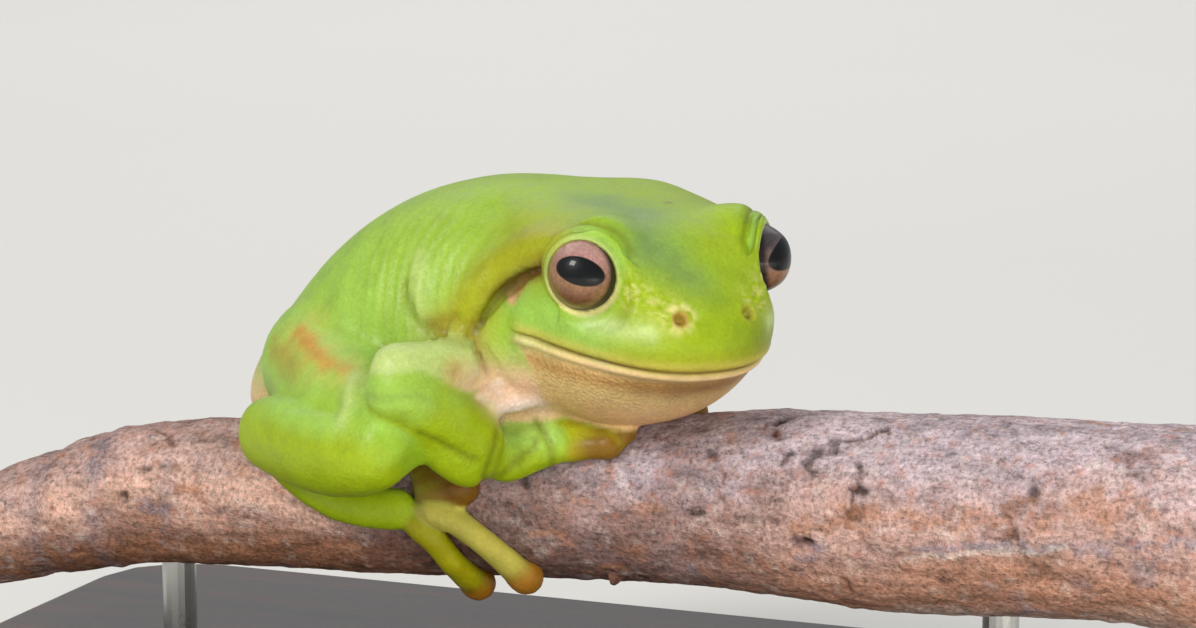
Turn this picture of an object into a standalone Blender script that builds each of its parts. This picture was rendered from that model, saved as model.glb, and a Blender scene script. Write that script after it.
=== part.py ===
"""Green tree frog gripping a cut length of branch, held over a low display stand.

Every size below is in millimetres and is turned into metres as a mesh is made.
The frog and its perch are laid out from the perch point: the point on the
branch's centre line under the frog's chest.  +X runs along the branch, -Y is
the frog's right side and +Z is up.  The stand rests on Z = 0.
"""
import math

import bmesh
import bpy
import numpy as np
from mathutils import Matrix, Vector

MM = 0.001
GAP = 0.3
MERGE_REACH = 0.05
NAPE_COLLAR = 4.0

# Where the perch point stands over the middle of the base.
PERCH_POINT = Vector((3.0, 0.0, 33.0))

# Branch: its centre line bends gently and it swells at a node.
PERCH_STATIONS = (-79.0, -72.0, -62.0, -48.0, -30.0, 0.0, 18.0, 24.0, 32.0, 50.0, 73.0)
PERCH_HEIGHTS = (-11.6, -9.4, -6.2, -4.2, -2.9, -0.6, 0.2, 0.5, 0.4, 0.8, 1.3)
PERCH_RADII = (6.6, 7.5, 8.1, 8.7, 8.9, 9.3, 9.6, 10.4, 10.7, 11.0, 11.0)
PERCH_ENDS = (-78.0, 72.0)

# Stand.
BASE_LENGTH = 160.0
BASE_WIDTH = 92.0
BASE_THICKNESS = 8.0
BASE_CORNER = 12.0
BASE_EDGE = 1.2
ROD_RADIUS = 2.0
ROD_PLACES = {"left": -53.0, "right": 47.0}
ROD_SINK_IN_BASE = 5.0
ROD_SINK_IN_PERCH = 8.0

# Head: its own frame stands midway between the eyeballs, +X along the snout.
HEAD_ORIGIN = Vector((11.6, -7.9, 27.4))
HEAD_YAW = -38.6
HEAD_PITCH = 3.6
HEAD_STATIONS = (-19.0, -14.0, -10.0, -6.0, -2.0, 2.0, 5.0, 8.0, 10.0, 11.3)
HEAD_HALF_WIDTH = (13.2, 14.4, 14.6, 14.2, 13.2, 11.8, 10.4, 8.4, 5.9, 0.0)
HEAD_TOP = (6.4, 6.1, 5.9, 5.8, 5.7, 4.8, 2.3, -1.2, -3.8, -7.2)
HEAD_WIDEST = (-3.6, -4.0, -4.3, -4.7, -5.0, -5.2, -5.6, -6.2, -6.8, -7.2)
HEAD_BOTTOM = (-17.0, -18.6, -19.4, -19.3, -18.2, -16.3, -14.1, -12.0, -10.7, -7.2)
HEAD_BOXINESS = {"upper": 3.2, "lower": 2.2}
CHIN_TUCK_RANGE = (-6.0, 9.0)
CHIN_TUCK_BACK = 0.6
CHIN_TUCK_IN = 0.07
MOUTH_FRONT_HEIGHT = -9.6
MOUTH_CORNER_HEIGHT = -7.6
MOUTH_LENGTH = 21.4
EYE_SPREAD = 10.4
EYE_RADIUS = 4.0
EYE_TURN = 47.6
EYE_RIM_DEPTH = 1.64
ORBIT_RADIUS = 5.0
ORBIT_SHIFT = Vector((0.2, 0.0, 0.2))
EARDRUM_PLACE = Vector((-7.8, 13.9, -2.9))
EARDRUM_RADIUS = 2.1
NOSTRIL_PLACE = Vector((9.0, 4.0, -3.2))
NOSTRIL_RADIUS = 0.55

# Trunk: stations along the back from the nape to the vent.
SPINE = ((7.0, -2.4), (2.8, -0.8), (-9.0, 2.6), (-22.0, 5.2), (-34.0, 7.0), (-45.6, 8.1))
TRUNK_STATIONS = (-5.0, 0.0, 8.0, 17.0, 25.0, 32.0, 39.0, 45.0, 49.5)
TRUNK_HALF_WIDTH = (11.0, 14.0, 16.6, 17.8, 17.8, 16.4, 13.4, 9.6, 0.0)
TRUNK_TOP = (33.2, 34.3, 34.9, 34.5, 32.4, 28.4, 22.0, 14.4, 6.0)
TRUNK_WIDEST = (20.0, 19.0, 18.0, 17.0, 16.0, 14.0, 11.0, 8.5, 6.0)
TRUNK_BOTTOM = (12.0, 9.5, 7.0, 5.5, 4.5, 3.2, 2.2, 2.4, 6.0)

# Limbs: half sizes across, then half sizes along up, from the body outwards.
ARM_SIZES = {
    "upper_arm": ((3.6, 3.0, 2.7), (3.3, 2.8, 2.6)),
    "forearm": ((3.5, 3.8, 3.3), (3.8, 4.1, 3.4)),
    "hand": ((3.0, 3.1, 2.5, 1.7), (2.6, 2.2, 1.8, 1.2)),
}
LEG_SIZES = {
    "thigh": ((6.6, 6.4, 3.4), (7.0, 6.4, 3.6)),
    "shank": ((3.4, 4.6, 3.0), (3.8, 5.8, 3.6)),
    "foot": ((1.9, 2.1, 2.6), (1.9, 1.8, 1.4)),
}
WRIST_ROUNDING = 1.6
FOREARM_BELLY = 0.4
CALF_BELLY = 0.45
FINGER_RADIUS = 1.15
FINGER_PAD = 1.6
TOE_RADIUS = 1.4
TOE_PAD = 2.05
KNUCKLE_SHARE = 0.92
DIGIT_FLATNESS = 0.9
PAD_FLATNESS = 0.62

# Joints of the limbs; routes on the bark are (along, angle from the top, lift).
RIGHT_ARM = (Vector((-9.0, -13.5, 15.8)), Vector((-16.0, -24.4, 17.0)),
             Vector((-7.4, -13.0, 5.6)))
LEFT_ARM = (Vector((1.0, 14.0, 17.0)), Vector((-1.0, 24.5, 13.5)),
            Vector((-3.4, 14.2, 5.4)))
RIGHT_PALM = ((-9.6, 60.5, 3.0), (-7.0, 57.5, 2.5), (-3.6, 51.5, 2.0), (0.2, 47.5, 1.5))
LEFT_PALM_SHIFT = 4.0
RIGHT_LEG = (Vector((-36.5, -1.0, 14.5)), Vector((-13.0, -24.0, 7.6)),
             Vector((-37.5, -12.0, 6.2)))
LEFT_LEG = (Vector((-35.0, 17.5, 14.5)), Vector((-7.0, 29.0, 7.6)),
            Vector((-34.0, 24.0, 5.6)))
RIGHT_SOLE = ((-27.0, 83.0, 2.2), (-17.2, 88.0, 1.8))
LEFT_SOLE = ((-25.0, -80.0, 5.6), (-13.5, -80.0, 2.2))
RIGHT_FINGERS = {
    1: ((-3.4, 40.0, 1.3), (-1.4, 27.0, 1.0), (0.8, 13.0, 0.9)),
    2: ((-2.6, 43.0, 1.3), (1.0, 34.0, 1.0), (4.4, 25.0, 0.9)),
    3: ((-2.2, 48.0, 1.3), (2.2, 40.5, 1.0), (6.4, 34.5, 0.9)),
    4: ((-2.6, 54.0, 1.3), (0.8, 49.5, 1.0), (5.4, 43.0, 0.9)),
}
RIGHT_TOES = {
    1: ((-18.2, 68.0, 1.5), (-16.4, 58.0, 1.0), (-15.0, 49.0, 0.9)),
    2: ((-17.6, 74.0, 1.5), (-14.8, 67.5, 1.0), (-12.2, 62.0, 0.9)),
    3: ((-17.2, 80.0, 1.5), (-13.8, 76.5, 1.0), (-10.8, 74.5, 0.9)),
    4: ((-17.4, 87.0, 1.5), (-13.4, 92.5, 1.2), (-9.6, 108.0, 1.1), (-5.5, 149.0, 1.2)),
    5: ((-18.8, 92.0, 1.5), (-16.0, 104.0, 1.1), (-14.2, 122.0, 1.1), (-12.8, 166.0, 1.2)),
}
FINGER_SHIFT = 4.0
TOE_SHIFT = 3.0

GREEN = (0.27, 0.50, 0.03)
PALE_GREEN = (0.45, 0.60, 0.22)
CREAM = (0.80, 0.62, 0.36)
ORANGE = (0.74, 0.36, 0.10)


# ---------------------------------------------------------------- shapes

def smooth(stations, values, at):
    """A monotone cubic through (stations, values), so that nothing overshoots."""
    stations = np.asarray(stations, float)
    values = np.asarray(values, float)
    step = np.diff(stations)
    slope = np.diff(values) / step
    tangent = np.empty_like(values)
    tangent[0] = slope[0]
    tangent[-1] = slope[-1]
    product = slope[:-1] * slope[1:]
    total = slope[:-1] + slope[1:]
    safe = np.where(np.abs(total) > 1e-12, total, 1.0)
    tangent[1:-1] = np.where(product > 0.0, 2.0 * product / safe, 0.0)
    at = np.asarray(at, float)
    cell = np.clip(np.searchsorted(stations, at) - 1, 0, len(step) - 1)
    t = (at - stations[cell]) / step[cell]
    a = values[cell]
    b = values[cell + 1]
    ta = tangent[cell] * step[cell]
    tb = tangent[cell + 1] * step[cell]
    return a + t * (ta + t * (3 * (b - a) - 2 * ta - tb + t * (2 * (a - b) + ta + tb)))


def spline(points, count):
    """Points spaced evenly along a smooth curve through a few route points."""
    points = np.array([tuple(p) for p in points], float)
    chord = np.concatenate([[0.0], np.cumsum(np.linalg.norm(np.diff(points, axis=0), axis=1))])
    fine = np.linspace(0.0, chord[-1], 20 * count)
    if len(points) == 2:
        curve = np.stack([np.interp(fine, chord, points[:, i]) for i in range(3)], axis=1)
    else:
        tangent = np.gradient(points, chord, axis=0)
        cell = np.clip(np.searchsorted(chord, fine) - 1, 0, len(points) - 2)
        step = (chord[cell + 1] - chord[cell])[:, None]
        t = ((fine - chord[cell])[:, None]) / step
        a = points[cell]
        b = points[cell + 1]
        ta = tangent[cell] * step
        tb = tangent[cell + 1] * step
        curve = a + t * (ta + t * (3 * (b - a) - 2 * ta - tb + t * (2 * (a - b) + ta + tb)))
    run = np.concatenate([[0.0], np.cumsum(np.linalg.norm(np.diff(curve, axis=0), axis=1))])
    even = np.linspace(0.0, run[-1], count)
    return np.stack([np.interp(even, run, curve[:, i]) for i in range(3)], axis=1), chord / chord[-1]


def ring(centre, side, up, half_width, above, below, count, upper=2.0, lower=2.0):
    """One closed section: a superellipse whose upper and lower halves may differ.

    upper and lower are the exponents of the two halves: 2 is an ellipse, more is boxier.
    """
    angle = np.linspace(0.0, 2.0 * math.pi, count, endpoint=False)
    cosine = np.cos(angle)
    sine = np.sin(angle)
    power = 2.0 / np.where(sine > 0.0, upper, lower)
    across = half_width * np.sign(cosine) * np.abs(cosine) ** power
    rise = np.where(sine > 0.0, above, below) * np.sign(sine) * np.abs(sine) ** power
    return centre + across[:, None] * side + rise[:, None] * up


def loft(rings, first_pole, last_pole):
    """A closed mesh over a row of rings, each end drawn together at a pole."""
    rings = np.asarray(rings)
    rows, count = rings.shape[:2]
    mesh = bmesh.new()
    verts = [[mesh.verts.new(p * MM) for p in row] for row in rings]
    start = mesh.verts.new(np.asarray(first_pole) * MM)
    end = mesh.verts.new(np.asarray(last_pole) * MM)
    for j in range(count):
        k = (j + 1) % count
        mesh.faces.new((start, verts[0][k], verts[0][j]))
        mesh.faces.new((end, verts[-1][j], verts[-1][k]))
        for i in range(rows - 1):
            mesh.faces.new((verts[i][j], verts[i][k], verts[i + 1][k], verts[i + 1][j]))
    bmesh.ops.recalc_face_normals(mesh, faces=mesh.faces)
    return mesh


def end_rounding(run, length, first, last):
    """How much of its full size a section keeps, so that both ends are round."""
    near = np.clip(run / max(first, 1e-9), 0.0, 1.0)
    far = np.clip((length - run) / max(last, 1e-9), 0.0, 1.0)
    return np.sqrt(1.0 - (1.0 - near) ** 2) * np.sqrt(1.0 - (1.0 - far) ** 2)


def limb_mesh(points, widths, depths, up, grow=0.0, rings=8, count=12, far_end=None):
    """A fleshy length through points, with its two half sizes given at each point.

    widths are half sizes across, depths are half sizes along up, and both ends
    are round.  grow moves the whole surface outwards.  far_end is the length of
    the far end's rounding, for one that is blunter than a half circle.
    """
    line, shares = spline(points, 8 * rings)
    length = float(np.sum(np.linalg.norm(np.diff(line, axis=0), axis=1)))
    head_turn = 0.5 * (1.0 - np.cos(np.linspace(0.0, math.pi, rings + 2)[1:-1]))
    share = 0.55 * head_turn + 0.45 * np.linspace(0.0, 1.0, rings + 2)[1:-1]
    even = np.linspace(0.0, 1.0, len(line))
    centre = np.stack([np.interp(share, even, line[:, i]) for i in range(3)], axis=1)
    tangent = np.gradient(line, axis=0)
    tangent = np.stack([np.interp(share, even, tangent[:, i]) for i in range(3)], axis=1)
    tangent /= np.linalg.norm(tangent, axis=1, keepdims=True)
    across = smooth(shares, widths, share)
    depth = smooth(shares, depths, share)
    keep = end_rounding(share * length, length, widths[0], far_end or widths[-1])
    centre = centre + grow * np.where(share < 0.5, -1.0, 1.0)[:, None] * tangent \
        * (np.abs(2.0 * share - 1.0) ** 3)[:, None]
    rows = []
    for i in range(rings):
        side = np.cross(tangent[i], up)
        side /= np.linalg.norm(side)
        lift = np.cross(side, tangent[i])
        rows.append(ring(centre[i], side, lift, across[i] * keep[i] + grow,
                         depth[i] * keep[i] + grow, depth[i] * keep[i] + grow, count))
    first = line[0] - grow * tangent[0]
    last = line[-1] + grow * tangent[-1]
    return loft(rows, first, last)


def perch_centre(x):
    """Height and radius of the branch at distance x along it."""
    height = smooth(PERCH_STATIONS, PERCH_HEIGHTS, x)
    radius = smooth(PERCH_STATIONS, PERCH_RADII, x)
    return float(height), float(radius)


def on_perch(x, angle, lift):
    """A point lifted off the bark; angle in degrees from the top towards -Y."""
    height, radius = perch_centre(x)
    turn = math.radians(angle)
    reach = radius + lift
    return Vector((x, -reach * math.sin(turn), height + reach * math.cos(turn)))


def perch_mesh(grow=0.0, rings=13, count=16):
    """The cut length of branch, square at its two sawn ends."""
    places = np.linspace(PERCH_ENDS[0] - grow, PERCH_ENDS[1] + grow, rings)
    rows = []
    for x in places:
        height, radius = perch_centre(x)
        rows.append(ring(np.array((x, 0.0, height)), np.array((0.0, 1.0, 0.0)),
                         np.array((0.0, 0.0, 1.0)), radius + grow, radius + grow,
                         radius + grow, count))
    heights = [perch_centre(places[i])[0] for i in (0, -1)]
    return loft(rows, (places[0], 0.0, heights[0]), (places[-1], 0.0, heights[1]))


def head_matrix():
    """From the head's own frame to the frog's, in millimetres."""
    yaw = Matrix.Rotation(math.radians(HEAD_YAW), 4, "Z")
    pitch = Matrix.Rotation(math.radians(HEAD_PITCH), 4, "Y")
    return Matrix.Translation(HEAD_ORIGIN) @ yaw @ pitch


def head_point(place, mirror=1.0):
    """A place in the head's frame, as a vector in the frog's frame."""
    return head_matrix() @ Vector((place[0], mirror * place[1], place[2]))


def head_direction(turn, mirror):
    """A level direction in the head's frame, turned from the snout outwards."""
    angle = math.radians(turn)
    aim = Vector((math.cos(angle), mirror * math.sin(angle), 0.0))
    return head_matrix().to_3x3() @ aim


def whole_head_mesh(grow=0.0, collar=0.0, rings=16, count=24):
    """Skull, cheeks and throat as one form, from behind the ears to the snout tip.

    collar raises the crown, for a cutter that ends the trunk cleanly at the nape.
    """
    first = HEAD_STATIONS[0]
    last = HEAD_STATIONS[-1]
    share = np.linspace(0.0, 1.0, rings + 1)[:-1]
    places = first + (last - first) * (1.0 - (1.0 - share) ** 1.6)
    fade = np.sqrt(np.clip((last - places) / (last - HEAD_STATIONS[-2]), 0.0, 1.0))
    tip = HEAD_STATIONS[-2]
    frame = head_matrix()
    turn = np.array(frame.to_3x3())
    rows = []
    for x, keep in zip(places, fade):
        inner = min(x, tip)
        half = float(smooth(HEAD_STATIONS, HEAD_HALF_WIDTH, inner)) * keep
        middle = float(smooth(HEAD_STATIONS, HEAD_WIDEST, x))
        above = (float(smooth(HEAD_STATIONS, HEAD_TOP, inner)) - middle) * keep
        below = (middle - float(smooth(HEAD_STATIONS, HEAD_BOTTOM, inner))) * keep
        centre = np.array(frame @ Vector((x, 0.0, middle)))
        rows.append(ring(centre, turn[:, 1], turn[:, 2], half + grow, above + grow + collar,
                         below + grow, count, **HEAD_BOXINESS))
    back = frame @ Vector((first - grow, 0.0, HEAD_WIDEST[0]))
    front = frame @ Vector((last + grow, 0.0, HEAD_WIDEST[-1]))
    return loft(rows, back, front)


def trunk_mesh(grow=0.0, rings=16, count=22):
    """Neck, chest, belly and rump along the line of the back."""
    route = [Vector((x, y, 0.0)) for x, y in SPINE]
    line, _ = spline(route, 160)
    run = np.concatenate([[0.0], np.cumsum(np.linalg.norm(np.diff(line, axis=0), axis=1))])
    first = TRUNK_STATIONS[0]
    last = TRUNK_STATIONS[-1]
    run = first + run * (last - first) / run[-1]
    share = np.linspace(0.0, 1.0, rings + 1)[:-1]
    places = first + (last - first) * (1.0 - (1.0 - share) ** 1.35)
    tangent = np.gradient(line, axis=0)
    inner_end = TRUNK_STATIONS[-2]
    rows = []
    for place in places:
        centre = np.array([np.interp(place, run, line[:, i]) for i in range(3)])
        along = np.array([np.interp(place, run, tangent[:, i]) for i in range(3)])
        along /= np.linalg.norm(along)
        side = np.cross(np.array((0.0, 0.0, 1.0)), along)
        keep = math.sqrt(min(1.0, (last - place) / (last - inner_end)))
        inner = min(place, inner_end)
        half = float(smooth(TRUNK_STATIONS, TRUNK_HALF_WIDTH, inner)) * keep
        middle = float(smooth(TRUNK_STATIONS, TRUNK_WIDEST, place))
        inner_middle = float(smooth(TRUNK_STATIONS, TRUNK_WIDEST, inner))
        above = (float(smooth(TRUNK_STATIONS, TRUNK_TOP, inner)) - inner_middle) * keep
        below = (inner_middle - float(smooth(TRUNK_STATIONS, TRUNK_BOTTOM, inner))) * keep
        centre[2] = middle
        rows.append(ring(centre, side, np.array((0.0, 0.0, 1.0)), half + grow,
                         above + grow, below + grow, count, upper=2.3, lower=2.2))
    start = line[0] + np.array((0.0, 0.0, TRUNK_WIDEST[0])) - grow * tangent[0]
    end = line[-1] + np.array((0.0, 0.0, TRUNK_WIDEST[-1])) + grow * tangent[-1]
    return loft(rows, start, end)


def ball_mesh(centre, radius, rings=10, count=14):
    """A sphere with its poles on Z."""
    mesh = bmesh.new()
    bmesh.ops.create_uvsphere(mesh, u_segments=count, v_segments=rings, radius=radius * MM)
    bmesh.ops.translate(mesh, verts=mesh.verts, vec=centre * MM)
    return mesh


def disc_mesh(centre, axis, radius, thickness, count=16):
    """A plain round disc or rod about axis, its middle at centre."""
    mesh = bmesh.new()
    bmesh.ops.create_cone(mesh, cap_ends=True, segments=count, radius1=radius * MM,
                          radius2=radius * MM, depth=thickness * MM)
    turn = Vector((0.0, 0.0, 1.0)).rotation_difference(axis).to_matrix().to_4x4()
    bmesh.ops.transform(mesh, matrix=Matrix.Translation(centre * MM) @ turn, verts=mesh.verts)
    return mesh


def slice_off(mesh, point, outward):
    """Take away what lies beyond a plane, and close the cut."""
    geometry = mesh.verts[:] + mesh.edges[:] + mesh.faces[:]
    result = bmesh.ops.bisect_plane(mesh, geom=geometry, plane_co=point * MM,
                                    plane_no=outward, clear_outer=True)
    edges = [item for item in result["geom_cut"] if isinstance(item, bmesh.types.BMEdge)]
    bmesh.ops.holes_fill(mesh, edges=edges, sides=0)
    bmesh.ops.recalc_face_normals(mesh, faces=mesh.faces)
    return mesh


# ---------------------------------------------------------------- objects

def make_material(name, colour, roughness, metallic=0.0):
    """A Principled material of one colour."""
    material = bpy.data.materials.new(name)
    material.use_nodes = True
    shader = material.node_tree.nodes["Principled BSDF"]
    shader.inputs["Base Color"].default_value = (*colour, 1.0)
    shader.inputs["Roughness"].default_value = roughness
    shader.inputs["Metallic"].default_value = metallic
    return material


def new_collection(name):
    """An empty collection in the scene."""
    group = bpy.data.collections.new(name)
    bpy.context.scene.collection.children.link(group)
    return group


def to_object(name, mesh, group):
    """Turn a working mesh into an object of a collection."""
    data = bpy.data.meshes.new(name)
    mesh.to_mesh(data)
    mesh.free()
    piece = bpy.data.objects.new(name, data)
    group.objects.link(piece)
    return piece


def main_body_only(data):
    """Drop the crumbs that a cut leaves, and keep the largest body."""
    mesh = bmesh.new()
    mesh.from_mesh(data)
    bmesh.ops.remove_doubles(mesh, verts=mesh.verts, dist=MERGE_REACH * MM)
    bmesh.ops.dissolve_degenerate(mesh, edges=mesh.edges, dist=MERGE_REACH * MM)
    unseen = set(mesh.faces)
    bodies = []
    while unseen:
        front = [unseen.pop()]
        body = list(front)
        while front:
            for edge in front.pop().edges:
                for face in edge.link_faces:
                    if face in unseen:
                        unseen.remove(face)
                        front.append(face)
                        body.append(face)
        bodies.append(body)
    bodies.sort(key=len)
    for body in bodies[:-1]:
        bmesh.ops.delete(mesh, geom=body, context="FACES")
    mesh.to_mesh(data)
    mesh.free()


def combine(piece, others, operation, cutters):
    """Join or cut a piece with working meshes, one Boolean each, and keep the result."""
    helpers = []
    for other in others:
        helper = to_object("helper", other, cutters)
        helper.hide_render = True
        helper.display_type = "WIRE"
        modifier = piece.modifiers.new("boolean", "BOOLEAN")
        modifier.operation = operation
        modifier.solver = "EXACT"
        modifier.object = helper
        helpers.append(helper)
    bpy.context.view_layer.update()
    graph = bpy.context.evaluated_depsgraph_get()
    data = bpy.data.meshes.new_from_object(piece.evaluated_get(graph))
    piece.modifiers.clear()
    old = piece.data
    piece.data = data
    data.name = piece.name
    bpy.data.meshes.remove(old)
    for helper in helpers:
        bpy.data.objects.remove(helper)
    main_body_only(data)
    return piece


class Shape:
    """A named solid, and how to make it again a gap larger as a cutter."""

    def __init__(self, name, make, material):
        self.name = name
        self.make = make
        self.material = material

    def box(self):
        """Lowest and highest corner, in metres."""
        mesh = self.make(0.0)
        points = np.array([tuple(vert.co) for vert in mesh.verts])
        mesh.free()
        return points.min(axis=0), points.max(axis=0)


def overlaps(box, other):
    """Whether two boxes come within a gap of each other."""
    slack = 2.0 * GAP * MM
    return bool(np.all(box[0] - slack < other[1]) and np.all(other[0] - slack < box[1]))


# ---------------------------------------------------------------- frog

def mouth_plane(side):
    """A point and normal of the cut between head and jaw, half a gap to one side."""
    rise = (MOUTH_CORNER_HEIGHT - MOUTH_FRONT_HEIGHT) / MOUTH_LENGTH
    frame = head_matrix()
    front = frame @ Vector((HEAD_STATIONS[-1], 0.0, MOUTH_FRONT_HEIGHT + side * 0.5 * GAP))
    normal = frame.to_3x3() @ Vector((rise, 0.0, 1.0)).normalized()
    return front, normal


def tuck_chin(mesh):
    """Draw the front of the jaw in, so that the upper lip stands out a little over it."""
    frame = head_matrix()
    inverse = frame.inverted()
    start, end = CHIN_TUCK_RANGE
    for vert in mesh.verts:
        place = inverse @ (vert.co / MM)
        share = min(max((place.x - start) / (end - start), 0.0), 1.0)
        share *= share
        place.x -= CHIN_TUCK_BACK * share
        place.y *= 1.0 - CHIN_TUCK_IN * share
        vert.co = (frame @ place) * MM
    return mesh


def orbit_mesh(mirror):
    """The bulge of skin round one eye, cut off at the rim of the lids."""
    centre = Vector((0.0, EYE_SPREAD, 0.0)) + ORBIT_SHIFT
    mesh = ball_mesh(head_point(centre, mirror), ORBIT_RADIUS, rings=10, count=16)
    axis = head_direction(EYE_TURN, mirror)
    rim = head_point(Vector((0.0, EYE_SPREAD, 0.0)), mirror) + EYE_RIM_DEPTH * axis
    return slice_off(mesh, rim, axis)


def eye_centre(mirror):
    """The middle of one eyeball."""
    return head_point(Vector((0.0, EYE_SPREAD, 0.0)), mirror)


def eardrum_axis(mirror):
    """Outward direction of one eardrum."""
    return head_matrix().to_3x3() @ Vector((-0.12, mirror * 0.98, 0.14)).normalized()


def eardrum_mesh(mirror, grow=0.0):
    """One eardrum: a thin round disc set in the side of the head."""
    return disc_mesh(head_point(EARDRUM_PLACE, mirror), eardrum_axis(mirror),
                     EARDRUM_RADIUS + grow, 1.0 + 2.0 * grow)


def make_head(parts, cutters, materials):
    """Eyes, eardrums, head and lower jaw."""
    sides = {"left": 1.0, "right": -1.0}
    for side, mirror in sides.items():
        eye = to_object("eye_" + side, ball_mesh(eye_centre(mirror), EYE_RADIUS), parts)
        eye.data.materials.append(materials["eye"])
        drum = to_object("eardrum_" + side, eardrum_mesh(mirror), parts)
        drum.data.materials.append(materials["eardrum"])
    hollows = []
    for mirror in sides.values():
        hollows.append(ball_mesh(eye_centre(mirror), EYE_RADIUS + GAP))
        hollows.append(eardrum_mesh(mirror, GAP))
        hollows.append(ball_mesh(head_point(NOSTRIL_PLACE, mirror), NOSTRIL_RADIUS, 6, 8))
    head = to_object("head", whole_head_mesh(), parts)
    combine(head, [orbit_mesh(mirror) for mirror in sides.values()], "UNION", cutters)
    point, normal = mouth_plane(1.0)
    upper = bmesh.new()
    upper.from_mesh(head.data)
    slice_off(upper, point, -normal)
    upper.to_mesh(head.data)
    upper.free()
    combine(head, hollows, "DIFFERENCE", cutters)
    head.data.materials.append(materials["skin"])
    point, normal = mouth_plane(-1.0)
    jaw = to_object("lower_jaw", tuck_chin(slice_off(whole_head_mesh(), point, normal)), parts)
    combine(jaw, [perch_mesh(GAP)], "DIFFERENCE", cutters)
    jaw.data.materials.append(materials["throat"])


def limb_shape(name, points, sizes, up, material, **options):
    """A Shape for one length of a limb; options are passed on to limb_mesh."""
    widths, depths = sizes

    def make(grow):
        return limb_mesh(points, widths, depths, up, grow, **options)
    return Shape(name, make, material)


def arm_shapes(side, joints, palm, outward, materials):
    """Upper arm, forearm and palm of one arm."""
    shoulder, elbow, wrist = joints
    belly = elbow.lerp(wrist, FOREARM_BELLY)
    reach = shoulder.lerp(elbow, 0.5)
    up = (0.0, 0.0, 1.0)
    return [
        limb_shape("upper_arm_" + side, (shoulder, reach, elbow), ARM_SIZES["upper_arm"], up,
                   materials["pale_skin"]),
        limb_shape("forearm_" + side, (elbow, belly, wrist), ARM_SIZES["forearm"], up,
                   materials["skin"], far_end=WRIST_ROUNDING),
        limb_shape("hand_" + side, [on_perch(*place) for place in palm], ARM_SIZES["hand"],
                   outward, materials["skin"]),
    ]


def leg_shapes(side, joints, sole, outward, materials):
    """Thigh, shank and foot of one leg."""
    hip, knee, heel = joints
    thigh = hip.lerp(knee, 0.5)
    calf = knee.lerp(heel, CALF_BELLY)
    up = (0.0, 0.0, 1.0)
    return [
        limb_shape("thigh_" + side, (hip, thigh, knee), LEG_SIZES["thigh"], up,
                   materials["pale_skin"]),
        limb_shape("shank_" + side, (knee, calf, heel), LEG_SIZES["shank"], up,
                   materials["skin"]),
        limb_shape("foot_" + side, [heel] + [on_perch(*place) for place in sole],
                   LEG_SIZES["foot"], outward, materials["skin"]),
    ]


def digit_shape(name, route, radius, pad, material):
    """One finger or toe lying on the bark, ending in a round pad."""
    points = [on_perch(x, angle, lift * radius) for x, angle, lift in route]
    last = points[-1]
    outward = Vector((0.0, last.y, last.z - perch_centre(last.x)[0])).normalized()
    widths = [radius] * (len(points) - 2) + [KNUCKLE_SHARE * radius, pad]
    depths = [DIGIT_FLATNESS * width for width in widths[:-1]] + [PAD_FLATNESS * pad]
    return limb_shape(name, points, (widths, depths), tuple(outward), material,
                      rings=5, count=8)


def mirrored(route, shift):
    """The same route on the far side of the branch, moved along it."""
    return tuple((x + shift, -angle, lift) for x, angle, lift in route)


def frog_limbs(materials):
    """Both arms and both legs, as shapes from the body outwards."""
    right_out = (0.0, -0.8, 0.6)
    left_out = (0.0, 0.8, 0.6)
    arms = [arm_shapes("right", RIGHT_ARM, RIGHT_PALM, right_out, materials),
            arm_shapes("left", LEFT_ARM, mirrored(RIGHT_PALM, LEFT_PALM_SHIFT), left_out,
                       materials)]
    legs = [leg_shapes("right", RIGHT_LEG, RIGHT_SOLE, (0.0, -1.0, 0.1), materials),
            leg_shapes("left", LEFT_LEG, LEFT_SOLE, (0.0, 1.0, 0.1), materials)]
    digits = []
    for kind, routes, shift, radius, pad in (
            ("finger", RIGHT_FINGERS, FINGER_SHIFT, FINGER_RADIUS, FINGER_PAD),
            ("toe", RIGHT_TOES, TOE_SHIFT, TOE_RADIUS, TOE_PAD)):
        for number, route in routes.items():
            for side, own in (("right", route), ("left", mirrored(route, shift))):
                name = "%s_%s_%d" % (kind, side, number)
                digits.append(digit_shape(name, own, radius, pad, materials["digit"]))
    return [shape for rank in zip(*arms, *legs) for shape in rank] + digits


def make_body(parts, cutters, materials):
    """Trunk and limbs, each cut a gap clear of everything before it."""
    trunk = to_object("trunk", trunk_mesh(), parts)
    combine(trunk, [perch_mesh(GAP), whole_head_mesh(GAP, NAPE_COLLAR)], "DIFFERENCE", cutters)
    trunk.data.materials.append(materials["skin"])
    placed = [Shape("perch", perch_mesh, None), Shape("whole_head", whole_head_mesh, None),
              Shape("trunk", trunk_mesh, None)]
    for shape in frog_limbs(materials):
        box = shape.box()
        near = [other.make(GAP) for other in placed if overlaps(box, other.box())]
        piece = to_object(shape.name, shape.make(0.0), parts)
        combine(piece, near, "DIFFERENCE", cutters)
        piece.data.materials.append(shape.material)
        placed.append(shape)


# ---------------------------------------------------------------- perch and stand

def rod_top(x):
    """Where a rod ends inside the branch."""
    height, radius = perch_centre(x)
    return height - radius + ROD_SINK_IN_PERCH


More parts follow.
